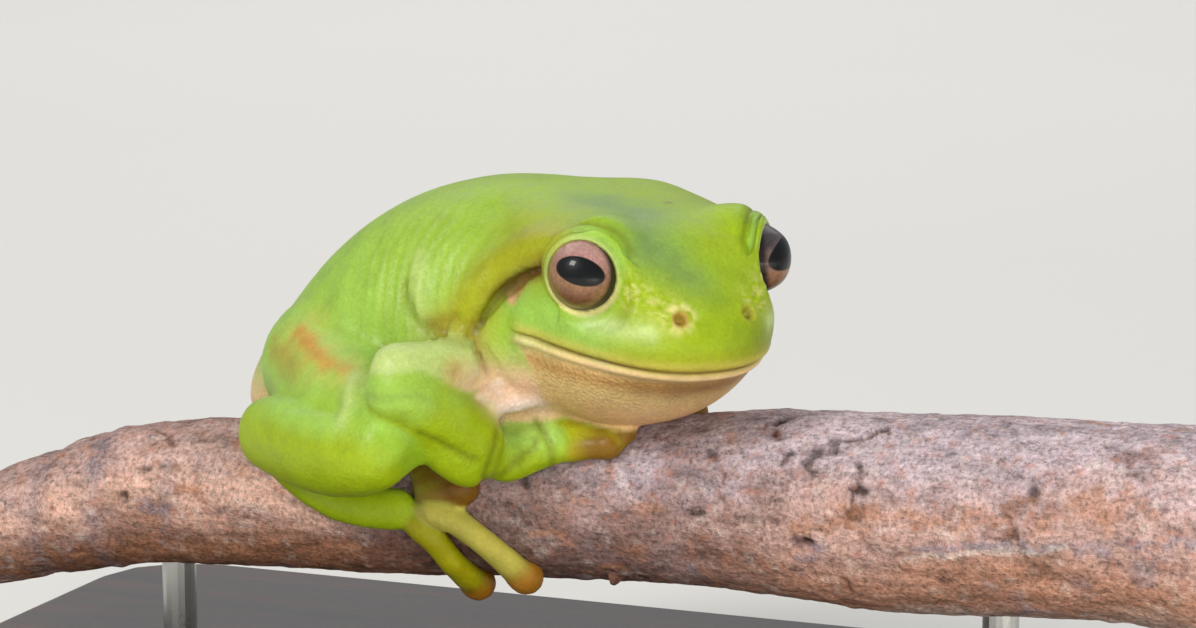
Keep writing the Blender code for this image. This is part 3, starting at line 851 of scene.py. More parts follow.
@dataclass(frozen=True)
class BodyFolds:
    """Folds of the frog's right: strokes from the shoulder, and wraps round the limbs.

    They are made in the order of the fields.
    """

    chest_roll: Fold = Fold(Stroke((0.0, 0.0, -4.5), 8.0, 0.0, 6.0, -28.0), 2.0, 1.5, 0.6)
    upper_roll: Fold = Fold(Stroke((-0.5, 1.5, -2.5), 5.5, 12.0, 0.0, -38.0), 1.5, 0.7, 0.8)
    behind_jaw: Fold = Fold(Stroke((1.5, 0.5, 5.0), 6.5, -85.0, 30.0), 0.6, -0.6, 0.5)
    over_shoulder: Fold = Fold(Stroke((-4.5, 1.5, 5.5), 3.5, -15.0), 0.6, -0.5, 0.6)
    neck_notch: Fold = Fold(Stroke((-3.0, 1.0, 5.5), 2.5, 10.0), 0.6, -0.55, 0.5)
    armpit: Fold = Fold(Stroke((-0.5, 1.5, 3.0), 3.5, -75.0, 0.0, 5.0), 0.6, -0.6, 0.5)
    neck_bead: Fold = Fold(Stroke((-1.0, 1.0, 4.5), 1.5, -55.0), 0.9, 0.5, 0.7)
    first_pleat: Fold = Fold(Stroke((0.0, 1.0, 3.5), 2.8, -85.0), 0.7, 0.45, 0.4)
    second_pleat: Fold = Fold(Stroke((0.8, 0.5, 3.5), 2.8, -85.0), 0.7, 0.45, 0.4)
    throat_crease: Fold = Fold(Stroke((6.5, -3.0, -5.0), 9.0, 122.0, -12.0, 20.0), 0.6, -0.5, 0.6)
    flank_crease: Fold = Fold(Stroke((-7.5, -1.0, 9.0), 8.0, -90.0, 75.0, 10.0), 0.7, -0.45, 0.7)
    flank_ridge: Fold = Fold(Stroke((-6.5, -2.0, 12.0), 7.5, -82.0, 10.0, 18.0), 0.9, 0.35, 1.0)
    heel_of_hand: Fold = Fold(Wrap("forearm", "hand", (0.05, 0.75), (60.0, 50.0), (5.0, 4.0)),
                              2.2, 1.25, 1.4)
    elbow: Fold = Fold(Wrap("upper_arm", "forearm", (0.1, 0.3), (40.0, -35.0), (8.0, 7.5)),
                       0.5, -0.22, 0.5)
    forearm: Fold = Fold(Wrap("forearm", "hand", (-0.25, 0.35), (5.0, 5.0), (4.5, 4.5)),
                         0.5, -0.16, 0.5)
    wrist: Fold = Fold(Wrap("forearm", "hand", (0.5, 0.5), (-60.0, 60.0)), 0.5, -0.3, 0.5)
    palm: Fold = Fold(Wrap("forearm", "hand", (0.9, 0.8), (-70.0, 50.0)), 0.5, -0.35, 0.5)
    thumb: Fold = Fold(Wrap("hand", "finger_1", (0.4, 0.2), (-60.0, 60.0), (3.0, 3.0)),
                       0.5, -0.35, 0.4)
    thumb_roll: Fold = Fold(Wrap("hand", "finger_1", (0.6, 0.4), (-50.0, 50.0), (3.0, 3.0)),
                            0.9, 0.4, 0.5)
    shank_edge: Fold = Fold(Wrap("thigh", "shank", (0.5, 0.5), (55.0, -45.0), (6.0, 10.0)),
                            0.7, -0.3, 0.8)
    flap: Fold = Fold(Wrap("thigh", "forearm", (0.35, 0.5), (-50.0, 10.0), (6.0, 6.0)),
                      0.9, 0.45, 0.7)


@dataclass(frozen=True)
class Lids:
    """The lids round one eyeball, as a distance from its middle at each angle off its axis."""

    turn: float = 47.6
    rim_angle: float = 71.0
    hidden: float = 3.55
    margin: float = 4.24
    lower_roll: float = 4.9
    upper_roll: float = 5.15
    roll_width: float = 22.0
    fade: tuple[float, float] = (86.0, 102.0)
    inner_crease: float = 80.0
    outer_crease: float = 93.0
    crease_depth: tuple[float, float] = (0.14, 0.17)
    crease_width: tuple[float, float] = (1.6, 1.9)
    basin: Place = (1.36, 0.1, 0.22)
    basin_start: float = 4.1

    def measure(self, head: HeadFrame, side: Side, points: Array
                ) -> tuple[Array, Array, Array, Array]:
        """Where points lie round an eyeball.

        Args:
            head: the head's frame.
            side: which eye.
            points: places in the row frame.

        Returns:
            Offsets from the eyeball's middle, angles off its axis in degrees, how far up
            the rim each lies, from -1 at the bottom to 1 at the top, and how far off the
            axis.
        """
        away = points - node_middle("eye_" + side.word)
        reach = np.maximum(np.linalg.norm(away, axis=1), 1e-6)
        axis = head.direction(self.turn, 0.0, side)
        angle = np.degrees(np.arccos(np.clip(away @ axis / reach, -1.0, 1.0)))
        flat = away - (away @ axis)[:, None] * axis
        ring = np.linalg.norm(flat, axis=1)
        rise = flat @ head.axes[2] / np.maximum(ring, 1e-6)
        return away, angle, rise, ring

    def pressed(self, head: HeadFrame, side: Side, points: Array) -> Array:
        """Points ahead of the lid's rim, pressed back along the eyeball's axis to meet it.

        The most a point may stand ahead of the eyeball's middle grows with the square of
        how far it lies outside the rim.

        Args:
            head: the head's frame.
            side: which eye.
            points: the skin's points.

        Returns:
            The moved points.
        """
        away, _, _, ring = self.measure(head, side, points)
        axis = head.direction(self.turn, 0.0, side)
        depth = away @ axis
        out = np.maximum(ring - self.basin_start, 0.0)
        start, slope, curve = self.basin
        limit = start + slope * out + curve * out**2
        share = ramp(depth, 0.2, 1.0) * fall(ring, 6.8, 8.6)
        moved = soft_union(depth, limit, 0.5)
        return points + (share * (moved - depth))[:, None] * axis

    def shaped(self, head: HeadFrame, side: Side, points: Array) -> Array:
        """Points moved so that the lids hug the eyeball.

        Inside the rim the skin passes under the eyeball.  From the rim outwards its
        distance from the eyeball's middle grows from the margin to the roll's, as a
        quarter sine, then fades into the head, and a fine crease runs over the roll.

        Args:
            head: the head's frame.
            side: which eye.
            points: the skin's points.

        Returns:
            The moved points.
        """
        points = self.pressed(head, side, points)
        away, angle, rise, _ = self.measure(head, side, points)
        reach = np.linalg.norm(away, axis=1)
        ahead = ramp(away @ head.direction(self.turn, 0.0, side), 0.6, 1.4)
        roll = self.lower_roll + (self.upper_roll - self.lower_roll) * ramp(rise, -0.6, 0.7)
        swing = np.clip((angle - self.rim_angle) / self.roll_width, 0.0, 1.0)
        outer = self.margin + (roll - self.margin) * np.sin(0.5 * math.pi * swing)
        wall = ramp(angle, self.rim_angle - 2.0, self.rim_angle + 0.4)
        target = self.hidden + (outer - self.hidden) * wall
        keep = fall(angle, *self.fade)
        near = fall(reach + 1.3 * ahead, 6.0, 6.9)
        moved = reach + near * keep * (target - reach)
        moved -= near * self.creases(angle, rise)
        return points + away * ((moved - reach) / np.maximum(reach, 1e-6))[:, None]

    def creases(self, angle: Array, rise: Array) -> Array:
        """The depth of the two fine creases over the eye, which fade out below it.

        Args:
            angle: the angle off the eyeball's axis, in degrees.
            rise: how far up the rim, from -1 to 1.

        Returns:
            How far each point sinks.
        """
        inner = self.crease_depth[0] * hill(angle, self.inner_crease, self.crease_width[0])
        outer = self.crease_depth[1] * hill(angle, self.outer_crease, self.crease_width[1])
        return inner * ramp(rise, -0.7, 0.0) + outer * ramp(rise, -0.5, 0.3)


@dataclass(frozen=True)
class Mouth:
    """The long closed mouth, where the head's solid meets the jaw's."""

    front: float = 11.3
    height: float = -9.6
    rise: float = 0.0935
    corner: float = -7.6
    crease_depth: float = 0.36
    crease_width: float = 0.22

    def above(self, place: Array) -> Array:
        """How far points of the head's frame lie above the mouth's own slanted plane."""
        return (self.rise * (place[:, 0] - self.front) + place[:, 2] - self.height
                ) / math.hypot(1.0, self.rise)

    def along(self, place: Array) -> Array:
        """1 along the mouth, fading to 0 behind its corner."""
        return ramp(place[:, 0], self.corner - 1.2, self.corner + 1.6)

    def relief(self, place: Array) -> Array:
        """How far the skin stands out: a crease, a soft upper lip and a rounded lower lip.

        Args:
            place: points in the head's frame.

        Returns:
            The height of each point over the plain skin.
        """
        above = self.above(place)
        shape = 0.2 * hill(above, 0.75, 0.6) + 0.28 * hill(above, -0.72, 0.5)
        shape -= 0.12 * hill(above, -1.6, 0.5)
        shape -= self.crease_depth * hill(above, 0.0, self.crease_width)
        return shape * self.along(place)


@dataclass(frozen=True)
class FaceDetails:
    """Nostrils, ears and the wrinkles between nostril and eye, in the head's frame."""

    nostril: Place = (9.5, 4.2, -3.6)
    ear: Route = ((-7.1, 13.6, -2.1), (-8.6, 14.0, -4.2))
    ear_radius: float = 1.15
    canthus: tuple[float, float] = (0.2, 0.9)

    def canthus_line(self, head: HeadFrame) -> Array:
        """The line of the wrinkles, a part of the way from nostril to eyeball's front.

        Args:
            head: the head's frame.

        Returns:
            Its two ends, in the head's frame.
        """
        front = head.eyeball((0.9, 0.0, 0.0))
        return np.array([(1.0 - share) * np.array(self.nostril) + share * front
                         for share in self.canthus])

    def relief(self, place: Array, head: HeadFrame) -> Array:
        """How far the skin stands out for these details.

        A nostril is a pit inside a raised ring, an ear is a shallow disc inside a fine
        ring, and the wrinkles are waves across a short line.

        Args:
            place: points in the head's frame, with the side's sign left off.
            head: the head's frame.

        Returns:
            The height of each point over the plain skin.
        """
        from_nostril = apart(place, self.nostril)
        rough = 0.6 + 0.6 * lump(place, 0.8, 23)
        shape = -1.0 * hill(from_nostril, 0.0, 0.55) + 0.14 * rough * hill(from_nostril, 1.0, 0.4)
        from_ear = from_route(place, np.array(self.ear))[0]
        shape -= 0.15 * fall(from_ear, 0.6 * self.ear_radius, self.ear_radius)
        shape += 0.08 * hill(from_ear, self.ear_radius + 0.15, 0.28)
        distance, _, offset = from_route(place, self.canthus_line(head))
        waves = wave(offset[:, 2] / 0.7 + 0.6 * lump(place, 1.1, 21))
        shape += 0.08 * waves * hill(distance, 0.0, 1.7)
        return shape


@dataclass
class FrogSkin:
    """One closed skin over head, trunk and limbs, drawn from their joined distance fields.

    For the limbs and digits, two sizes say how widely a node's facets are evened out and
    how near it starts to flow into the rest.  A pad's inset is a share of its radius.
    """

    head: HeadFrame
    step: float = 0.54
    band: float = 6.5
    torso_blur: float = 1.5
    thick_limb: tuple[float, float] = (1.0, 2.6)
    thin_limbs: dict[str, tuple[float, float]] = field(default_factory=lambda: {
        "forearm": (1.0, 1.3), "shank": (1.0, 1.1), "hand": (0.8, 3.0), "foot": (0.8, 1.2)})
    digit: tuple[float, float] = (0.5, 0.9)
    gap_closing: float = 0.22
    socket_fill: float = 4.4
    digit_growth: float = 0.22
    margin: float = 3.0
    refinings: int = 2
    settlings: int = 3
    pad_inset: float = 0.7
    pad_reach: float = 0.6
    flank_wave: float = 1.45
    neck_wave: float = 1.3
    back_wave: float = 4.6
    pad_radius: dict[str, float] = field(default_factory=lambda: {"finger": 1.5, "toe": 2.0})
    head_folds: HeadFolds = field(default_factory=HeadFolds)
    body_folds: BodyFolds = field(default_factory=BodyFolds)
    lids: Lids = field(default_factory=Lids)
    mouth: Mouth = field(default_factory=Mouth)
    face: FaceDetails = field(default_factory=FaceDetails)
    parts: dict[str, tuple[Lattice, Array]] = field(default_factory=dict)
    lines: dict[Fold, list[Array]] = field(default_factory=dict)

    def build(self) -> Piece:
        """Draw the skin, shape it and dress it.

        Returns:
            The finished piece.
        """
        lattice, values = self.whole_field()
        points, faces = lattice.surface(values)
        LOG.info("skin: %d faces before refining", len(faces))
        piece = surface_object("frog_skin", points, faces)
        self.refine(piece)
        points = mesh_points(piece)
        points = self.settle(lattice, values, points)
        points = self.detail(lattice, values, points)
        piece.data.vertices.foreach_set("co", (points * MM).astype(np.float32).ravel())
        piece.data.update()
        markings = Markings(self, points)
        set_colours(piece, "tint", markings.colours())
        set_numbers(piece, "grain", markings.grain())
        return piece

    def flesh(self) -> list[str]:
        """The CAD nodes that the skin stands for."""
        return [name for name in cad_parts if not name.startswith(("eye_", "perch", "stand"))]

    def whole_field(self) -> tuple[Lattice, Array]:
        """The joined distance field of the frog.

        Returns:
            The lattice and its values.
        """
        flesh = self.flesh()
        everything = np.vstack([node_points(name) for name in flesh])
        lattice = Lattice.around(everything, self.step, self.margin)
        values = self.torso_field(lattice)
        for fold in vars(self.head_folds).values():
            for side in Side:
                route = fold.route.by_eye(self.head) * (1.0, side.value, 1.0)
                line = fold.shape(lattice, values, self.head.outside(route))
                self.lines.setdefault(fold, []).append(line)
        for name in flesh:
            if name.startswith(("upper_arm", "thigh")):
                self.join(lattice, values, name, *self.thick_limb)
        for side in Side:
            for kind, sizes in self.thin_limbs.items():
                self.join(lattice, values, kind + "_" + side.word, *sizes)
            for name in flesh:
                if name.startswith(("finger_" + side.word, "toe_" + side.word)):
                    self.join(lattice, values, name, *self.digit, self.digit_growth)
                    self.add_pad(lattice, values, name)
        for fold in vars(self.body_folds).values():
            self.lines[fold] = [fold.shape(lattice, values, fold.route.placed())]
        return lattice, values

    def torso_field(self, lattice: Lattice) -> Array:
        """Head, jaw and trunk as one field, with the cuts between them closed.

        Args:
            lattice: where it is worked out.

        Returns:
            The field.
        """
        values = np.full(lattice.shape, self.band, np.float32)
        for name in ("head", "lower_jaw", "trunk", "eardrum_left", "eardrum_right"):
            part = lattice.distance(node_points(name), self.band, triangles=node_triangles(name))
            self.parts[name] = (lattice, part)
            values = np.minimum(values, part)
        places = lattice.points()
        for side in Side:
            away = apart(places, node_middle("eye_" + side.word))
            ball = (away - self.socket_fill).reshape(lattice.shape).astype(np.float32)
            values = np.minimum(values, ball)
        points, quads = lattice.surface(values, self.gap_closing)
        closed = lattice.distance(points, self.band, quads=quads) + self.gap_closing
        return evened(closed, self.torso_blur / lattice.step)

    def join(self, lattice: Lattice, values: Array, name: str, blur: float,
             reach: float, growth: float = 0.0) -> None:
        """Join one node of a limb to the field, in place.

        Args:
            lattice: the field's lattice.
            values: the field, which is changed.
            name: the node to add.
            blur: how widely its facets are evened out.
            reach: how near it starts to flow into the rest.
            growth: how far its surface is moved outwards first.
        """
        points = node_points(name)
        local = Lattice.around(points, lattice.step, 4.0).clipped(lattice)
        part = local.distance(points, self.band, triangles=node_triangles(name))
        part = evened(part, blur / lattice.step) - 0.5 * self.gap_closing - growth
        self.parts[name] = (local, part)
        lattice.join(values, local, part, reach)

    def tip(self, name: str) -> Array:
        """The point of a finger or toe that lies farthest from its hand or foot.

        Args:
            name: the digit's node.

        Returns:
            The point.
        """
        kind, side, _ = name.split("_")
        root = node_middle(("hand_" if kind == "finger" else "foot_") + side)
        points = node_points(name)
        return points[np.argmax(apart(points, root))]

    def add_pad(self, lattice: Lattice, values: Array, name: str) -> None:
        """Join the round pad at the end of a finger or toe, in place.

        The pad is a ball that ends where the digit's own solid does.

        Args:
            lattice: the field's lattice.
            values: the field, which is changed.
            name: the digit's node.
        """
        radius = self.pad_radius[name.split("_")[0]]
        tip = self.tip(name)
        near = node_points(name)
        near = near[apart(near, tip) < 2.0 * radius]
        back = near.mean(axis=0) - tip
        centre = tip + self.pad_inset * radius * back / np.linalg.norm(back)
        local = Lattice.around(centre[None], lattice.step, radius + 2.0).clipped(lattice)
        ball = (apart(local.points(), centre) - radius).astype(np.float32)
        lattice.join(values, local, ball.reshape(local.shape), self.pad_reach)

    def refine(self, piece: Piece) -> None:
        """Divide the faces of the head, and twice round the eyes, mouth and nostrils.

        Args:
            piece: the skin, whose mesh is changed.
        """
        mesh = bmesh.new()
        mesh.from_mesh(piece.data)
        for level in range(self.refinings):
            middles = np.array([face.calc_center_median() for face in mesh.faces]) / MM
            chosen = self.fine_area(middles, level)
            faces = [face for face, take in zip(mesh.faces, chosen) if take]
            edges = {edge for face in faces for edge in face.edges}
            bmesh.ops.subdivide_edges(mesh, edges=list(edges), cuts=1, use_grid_fill=True)
        bmesh.ops.triangulate(mesh, faces=[face for face in mesh.faces if len(face.verts) > 4])
        mesh.to_mesh(piece.data)
        mesh.free()
        piece.data.shade_smooth()
        triangles = sum(len(face.vertices) - 2 for face in piece.data.polygons)
        LOG.info("skin: %d triangles", triangles)

    def fine_area(self, middles: Array, level: int) -> Array:
        """Which faces to divide at a level, from their middles.

        Args:
            middles: the faces' middles.
            level: 0 for the whole head, 1 round eyes, mouth and nostrils.

        Returns:
            True for each face that is divided.
        """
        place = self.head.inside(middles)
        if level == 0:
            return (place[:, 0] > -11.5) & (place[:, 2] > -13.0) & (np.abs(place[:, 1]) < 17.0)
        chosen = np.zeros(len(place), bool)
        for side in Side:
            away, angle, _, _ = self.lids.measure(self.head, side, middles)
            near = np.linalg.norm(away, axis=1) < 6.4
            chosen |= near & (angle > 56.0) & (angle < 103.0)
        chosen |= apart(folded(place), self.face.nostril) < 1.9
        lips = (np.abs(self.mouth.above(place)) < 0.75) & (place[:, 0] > self.mouth.corner - 0.5)
        return chosen | lips

    def settle(self, lattice: Lattice, values: Array, points: Array) -> Array:
        """Points drawn onto the field's surface, down its slope.

        Args:
            lattice: the field's lattice.
            values: the field.
            points: the points to move.

        Returns:
            The moved points.
        """
        for _ in range(self.settlings):
            off = lattice.read(values, points)
            points = points - lattice.slope(values, points) * np.clip(off, -0.4, 0.4)[:, None]
        return points

    def detail(self, lattice: Lattice, values: Array, points: Array) -> Array:
        """Lips, lids, nostrils, ears and wrinkles, added over the plain skin.

        Args:
            lattice: the field's lattice.
            values: the field.
            points: the skin's points.

        Returns:
            The finished points.
        """
        outward = lattice.slope(values, points)
        place = self.head.inside(points)
        height = self.mouth.relief(place) + self.face.relief(folded(place), self.head)
        height += self.wrinkles(points)
        points = points + height[:, None] * outward
        for side in Side:
            points = self.lids.shaped(self.head, side, points)
        return points

    def flank_waves(self, points: Array) -> tuple[Array, Array]:
        """The fine folds on the right flank, arched round the shoulder.

        Each is a wave of the distance from the neck, its length a little over a
        millimetre, bent by random relief and faded out away from the flank's middle.

        Args:
            points: where to read them.

        Returns:
            The waves, from -1 to 1, and how strong they are there.
        """
        neck = shoulder() + (8.0, 0.0, 7.0)
        reach = np.linalg.norm((points - neck) * (1.0, 0.35, 0.8), axis=1)
        waves = wave(reach / self.flank_wave + 0.6 * lump(points, 5.0, 31))
        middle = shoulder() + (-6.0, 2.0, 9.0)
        fade = hill(np.linalg.norm((points - middle) * (1.0, 0.6, 0.65), axis=1), 0.0, 6.5)
        return waves, fade * (0.6 + 0.4 * lump(points, 4.0, 33))

    def wrinkles(self, points: Array) -> Array:
        """Folds on the flank, pleats on the neck and broad faint waves over the back.

        Args:
            points: the skin's points.

        Returns:
            The height at each point.
        """
        waves, strength = self.flank_waves(points)
        across = points[:, 0] + 0.4 * points[:, 1]
        pleats = wave(across / self.neck_wave + 0.5 * lump(points, 3.0, 37))
        middle = shoulder() + (-1.0, -1.0, 3.5)
        near = hill(apart(points, middle), 0.0, 2.8)
        broad = wave(points[:, 0] / self.back_wave + 0.6 * lump(points, 9.0, 35))
        back = hill(points[:, 0], -24.0, 9.0) * ramp(np.abs(points[:, 1]), 5.0, 11.0)
        back *= ramp(points[:, 2], 46.0, 52.0)
        return 0.22 * waves * strength + 0.22 * pleats * near + 0.1 * back * broad


# ---------------------------------------------------------------- the skin's markings


class Hue(Enum):
    """The frog's colours, in display numbers."""

    LEAF = (140, 172, 30)
    LIME = (150, 170, 4)
    MINT = (148, 190, 84)
    # A dark olive used only as painted shade: in creases, grooves and on the far cheek.
    MOSS = (108, 120, 8)
    OLIVE = (158, 146, 4)
    SKY = (112, 142, 76)
    PALE = (184, 198, 122)
    # A bright pale green used as a painted highlight along the cheeks.
    FROST = (208, 224, 160)
    STRAW = (190, 174, 80)
    BUTTER = (214, 206, 130)
    CREAM = (226, 196, 140)
    TAN = (192, 142, 86)
    BROWN = (92, 50, 14)
    MAUVE = (222, 184, 150)
    PEARL = (234, 220, 208)
    RUST = (198, 112, 36)
    AMBER = (160, 100, 24)
    # A dark brown used as painted shade in creases, the ear's groove, at the chin and on the inner
    # toes; on the finger pads it is partly their own brown.
    EARTH = (118, 78, 16)
    PEACH = (236, 188, 132)
    SHADE = (88, 54, 16)

    def light(self) -> Array:
        """The colour as linear light."""
        return linear(*self.value)


@dataclass(frozen=True)
class Streak:
    """A line along the outside of a limb's node, on either side of the frog.

    The shares run along the node from its rear end, the rise is in degrees above
    straight out, and away is the distance from the node's own long line.
    """

    kind: str
    share: tuple[float, float]
    rise: float
    away: float

    def placed(self, side: Side) -> Array:
        """The line in the row frame, along the direction in which the node is longest.

        Args:
            side: which of the frog's sides.

        Returns:
            One row for each point.
        """
        points = node_points(self.kind + "_" + side.word)
        middle = points.mean(axis=0)
        axis = np.linalg.svd(points - middle, full_matrices=False)[2][0]
        axis *= math.copysign(1.0, axis[0])
        reach = (points - middle) @ axis
        places = np.interp(np.linspace(*self.share, 4), (0.0, 1.0), (reach.min(), reach.max()))
        rise = math.radians(self.rise)
        out = np.array((0.0, side.value * math.cos(rise), math.sin(rise)))
        return middle + places[:, None] * axis + self.away * out


@dataclass(frozen=True)
class Stripes:
    """The orange marks of the legs and the neck."""

    thigh: Streak = Streak("thigh", (0.15, 0.65), 50.0, 12.0)
    rump: Streak = Streak("thigh", (0.0, 0.15), 20.0, 12.0)
    neck_spot: Stroke = Stroke((-2.5, 1.5, 3.0), 2.5, -15.0)


@dataclass
class Markings:
    """The skin's colours, worked out at each of its points.

    The routes and places of the fields are in the head's frame.
    """

    skin: FrogSkin
    points: Array
    stripes: Stripes = field(default_factory=Stripes)
    softness: float = 0.35
    crown_band: Route = ((-9.0, -5.0, 6.0), (-1.0, -3.0, 5.0), (3.0, -5.0, 3.0), (7.0, -2.0, 0.0))
    jowl: Route = ((-7.0, 14.0, -5.2), (-2.0, 13.0, -5.4), (3.0, 11.6, -6.6))
    nape: Route = ((-7.0, 12.0, 4.0), (-11.0, 13.5, 4.5))
    snout: Place = (10.0, -4.0, -6.0)
    shaded_far_cheek: Place = (9.0, 7.0, -6.0)
    share: dict[str, Array] = field(default_factory=dict)
    tint: Array = field(init=False)
    place: Array = field(init=False)
    folded: Array = field(init=False)

    def __post_init__(self) -> None:
        """Find out which node each point belongs to, and where it lies in the head's frame.

        A node's share is exp(-distance / softness), over the sum of all the shares.
        """
        self.place = self.skin.head.inside(self.points)
        self.folded = folded(self.place)
        total = np.zeros(len(self.points))
        for name, (lattice, part) in self.skin.parts.items():
            low = lattice.low * lattice.step
            high = low + (np.array(lattice.shape) - 1) * lattice.step
            inside = np.all((self.points > low) & (self.points < high), axis=1)
            share = np.zeros(len(self.points))
            distance = lattice.read(part, self.points[inside])
            share[inside] = np.exp(-np.maximum(distance, -1.0) / self.softness)
            self.share[name] = share
            total += share
        for name in self.share:
            self.share[name] = self.share[name] / np.maximum(total, 1e-9)

    def on(self, *names: str) -> Array:
        """How far each point belongs to the named nodes, from 0 to 1."""
        return ramp(sum(self.share[name] for name in names), 0.15, 0.85)

    def paint(self, *layers: tuple[Array, Hue, float | Array]) -> None:
        """Lay hues over the tint, each where its mask is above 0 and at its strength."""
        for mask, hue, strength in layers:
            share = np.clip(mask * strength, 0.0, 1.0)[:, None]
            self.tint += share * (hue.light() - self.tint)

    def along(self, route: Array, width: float, ragged: float = 0.0) -> Array:
        """A soft band along a route, drawn onto the skin, with edges that waver.

        Args:
            route: the line, beside the skin.
            width: the band's half width.
            ragged: how far its edges waver.

        Returns:
            How strong it is at each point, from 0 to 1.
        """
        near = [np.argmin(np.sum((self.points - place) ** 2, axis=1)) for place in route]
        distance = from_route(self.points, curve_through(self.points[near], 24))[0]
        if ragged > 0.0:
            distance = np.maximum(distance + ragged * relief(self.points, 1.6, 71), 0.0)
        return hill(distance, 0.0, width)

    def from_fold(self, fold: Fold, width: float) -> Array:
        """A soft band along a fold's own line on the skin.

        Args:
            fold: the fold.
            width: the band's half width.

        Returns:
            How strong it is at each point, from 0 to 1.
        """
        distance = np.min([from_route(self.points, line)[0] for line in self.skin.lines[fold]],
                          axis=0)
        return hill(distance, 0.0, width)

    def colours(self) -> Array:
        """The linear colour of every point.

        Returns:
            One row for each point.
        """
        points = self.points
        self.tint = np.tile(Hue.LEAF.light(), (len(points), 1))
        self.paint(
            (ramp(relief(points, 11.0, 41), 0.1, 1.0), Hue.MINT, 0.35),
            (ramp(relief(points, 8.0, 47), 0.1, 0.9), Hue.LIME, 0.5))
        self.trunk()
        self.limbs()
        self.head()
        return self.tint

    def grain(self) -> Array:
        """Where the skin is coarsely granular: the throat, chest and belly.

        Returns:
            How coarse it is at each point, from 0 to 1.
        """
        above = self.skin.mouth.above(self.place)
        throat = self.on("lower_jaw") * fall(above, -1.9, -1.2)
        belly = self.on("trunk") * fall(self.points[:, 2], 44.0, 52.0)
        return np.clip(throat + 0.7 * belly, 0.0, 1.0)

    def trunk(self) -> None:
        """Back, flank, chest and belly, with painted highlights on the flank's folds and painted
        shade in the creases.
        """
        points = self.points
        x, _, z = points.T
        trunk = self.on("trunk")
        flank = hill(z, 55.0, 9.0) * fall(x, -9.0, -2.0)
        self.paint((trunk * flank, Hue.MINT, 0.5))
        waves, strength = self.skin.flank_waves(points)
        # Painted highlights in pale on the crests of the flank's folds, with a deeper yellow-green
        # in their troughs.
        self.paint(
            (trunk * strength * ramp(waves, 0.0, 1.0), Hue.PALE, 0.55),
            (trunk * strength * ramp(-waves, 0.2, 1.0), Hue.LIME, 0.6))
        rump = fall(x, -36.0, -27.0) * fall(z, 47.0, 57.0)
        self.paint(
            (trunk * rump, Hue.PALE, 0.7),
            (trunk * rump * ramp(relief(points, 4.0, 61), 0.0, 0.8), Hue.RUST, 0.3))
        ahead = ramp(x, -15.0, -9.0)
        low = fall(z + 0.3 * x + 0.9 * relief(points, 2.5, 62), 45.2, 48.8)
        self.paint(
            (trunk * low * ahead, Hue.MAUVE, 0.95),
            (trunk * low * ahead * ramp(relief(points, 1.5, 63), 0.1, 0.8), Hue.PEARL, 0.6),
            (trunk * low * ahead * ramp(relief(points, 2.2, 64), 0.2, 0.9), Hue.RUST, 0.35))
        belly = fall(z, 41.0, 45.0) * trunk
        self.paint((belly, Hue.CREAM, 0.85))
        folds = self.skin.body_folds
        neck = apart(points, shoulder() + (-0.5, -1.0, 3.5))
        self.paint(
            (trunk * hill(neck, 0.0, 3.4), Hue.STRAW, 0.5),
            (trunk * hill(neck, 0.0, 4.2) * ramp(relief(points, 1.3, 69), 0.0, 0.5), Hue.LIME, 0.6))
        for fold in (folds.first_pleat, folds.second_pleat, folds.neck_bead):
            self.paint(
                (self.from_fold(fold, 1.5), Hue.PALE, 0.7),
                (self.from_fold(fold, 1.8), Hue.LIME, 0.35))
        # Painted highlight along the flank's ridge and painted shade in its crease.
        self.paint(
            (trunk * self.from_fold(folds.flank_ridge, 1.1), Hue.PALE, 0.5),
            (trunk * self.from_fold(folds.flank_crease, 0.7), Hue.MOSS, 0.55))
        for fold in (folds.behind_jaw, folds.over_shoulder, folds.neck_notch, folds.armpit):
            # Painted shade: olive and dark brown along the creases behind the jaw, over the
            # shoulder, at the neck and the armpit.
            self.paint(
                (trunk * self.from_fold(fold, 1.3), Hue.OLIVE, 0.3),
                (trunk * self.from_fold(fold, 0.55), Hue.EARTH, 0.7))
        self.paint((self.along(self.stripes.neck_spot.placed(), 0.9, 0.6), Hue.RUST, 0.5))

    def head(self) -> None:
        """Crown, snout, cheeks, lids, ears, lips and throat, with painted shade on the far cheek
        and a painted highlight along each cheek.
        """
        place = self.place
        ahead, left, up = place.T
        head = np.maximum(self.on("head", "eardrum_left", "eardrum_right"),
                          ramp(ahead, -12.0, -6.0) * ramp(up, -6.0, 0.0))
        distance = from_route(place, np.array(self.crown_band))[0] + 0.9 * relief(place, 3.0, 65)
        self.paint((head * hill(np.maximum(distance, 0.0), 0.0, 3.3), Hue.SKY, 0.85))
        side = hill(up, 3.0, 3.0) * ramp(left, -2.5, 2.5)
        self.paint((head * side, Hue.LIME, 0.5))
        snout = hill(apart(place, self.snout), 0.0, 5.0)
        self.paint((head * snout, Hue.LIME, 0.8))
        # The far cheek is painted darker olive: painted shade on the side away from the light.
        far = hill(apart(place, self.shaded_far_cheek), 0.0, 5.5)
        self.paint((head * far, Hue.MOSS, 0.75))
        low = hill(self.skin.mouth.above(place), 0.6, 1.7) * ramp(ahead, -6.0, 6.0)
        self.paint((head * low, Hue.OLIVE, 0.55))
        cheek = self.from_line(Stroke((0.5, 0.1, -1.2), 7.5, -6.0, 12.0,
                                      -28.0).by_eye(self.skin.head))
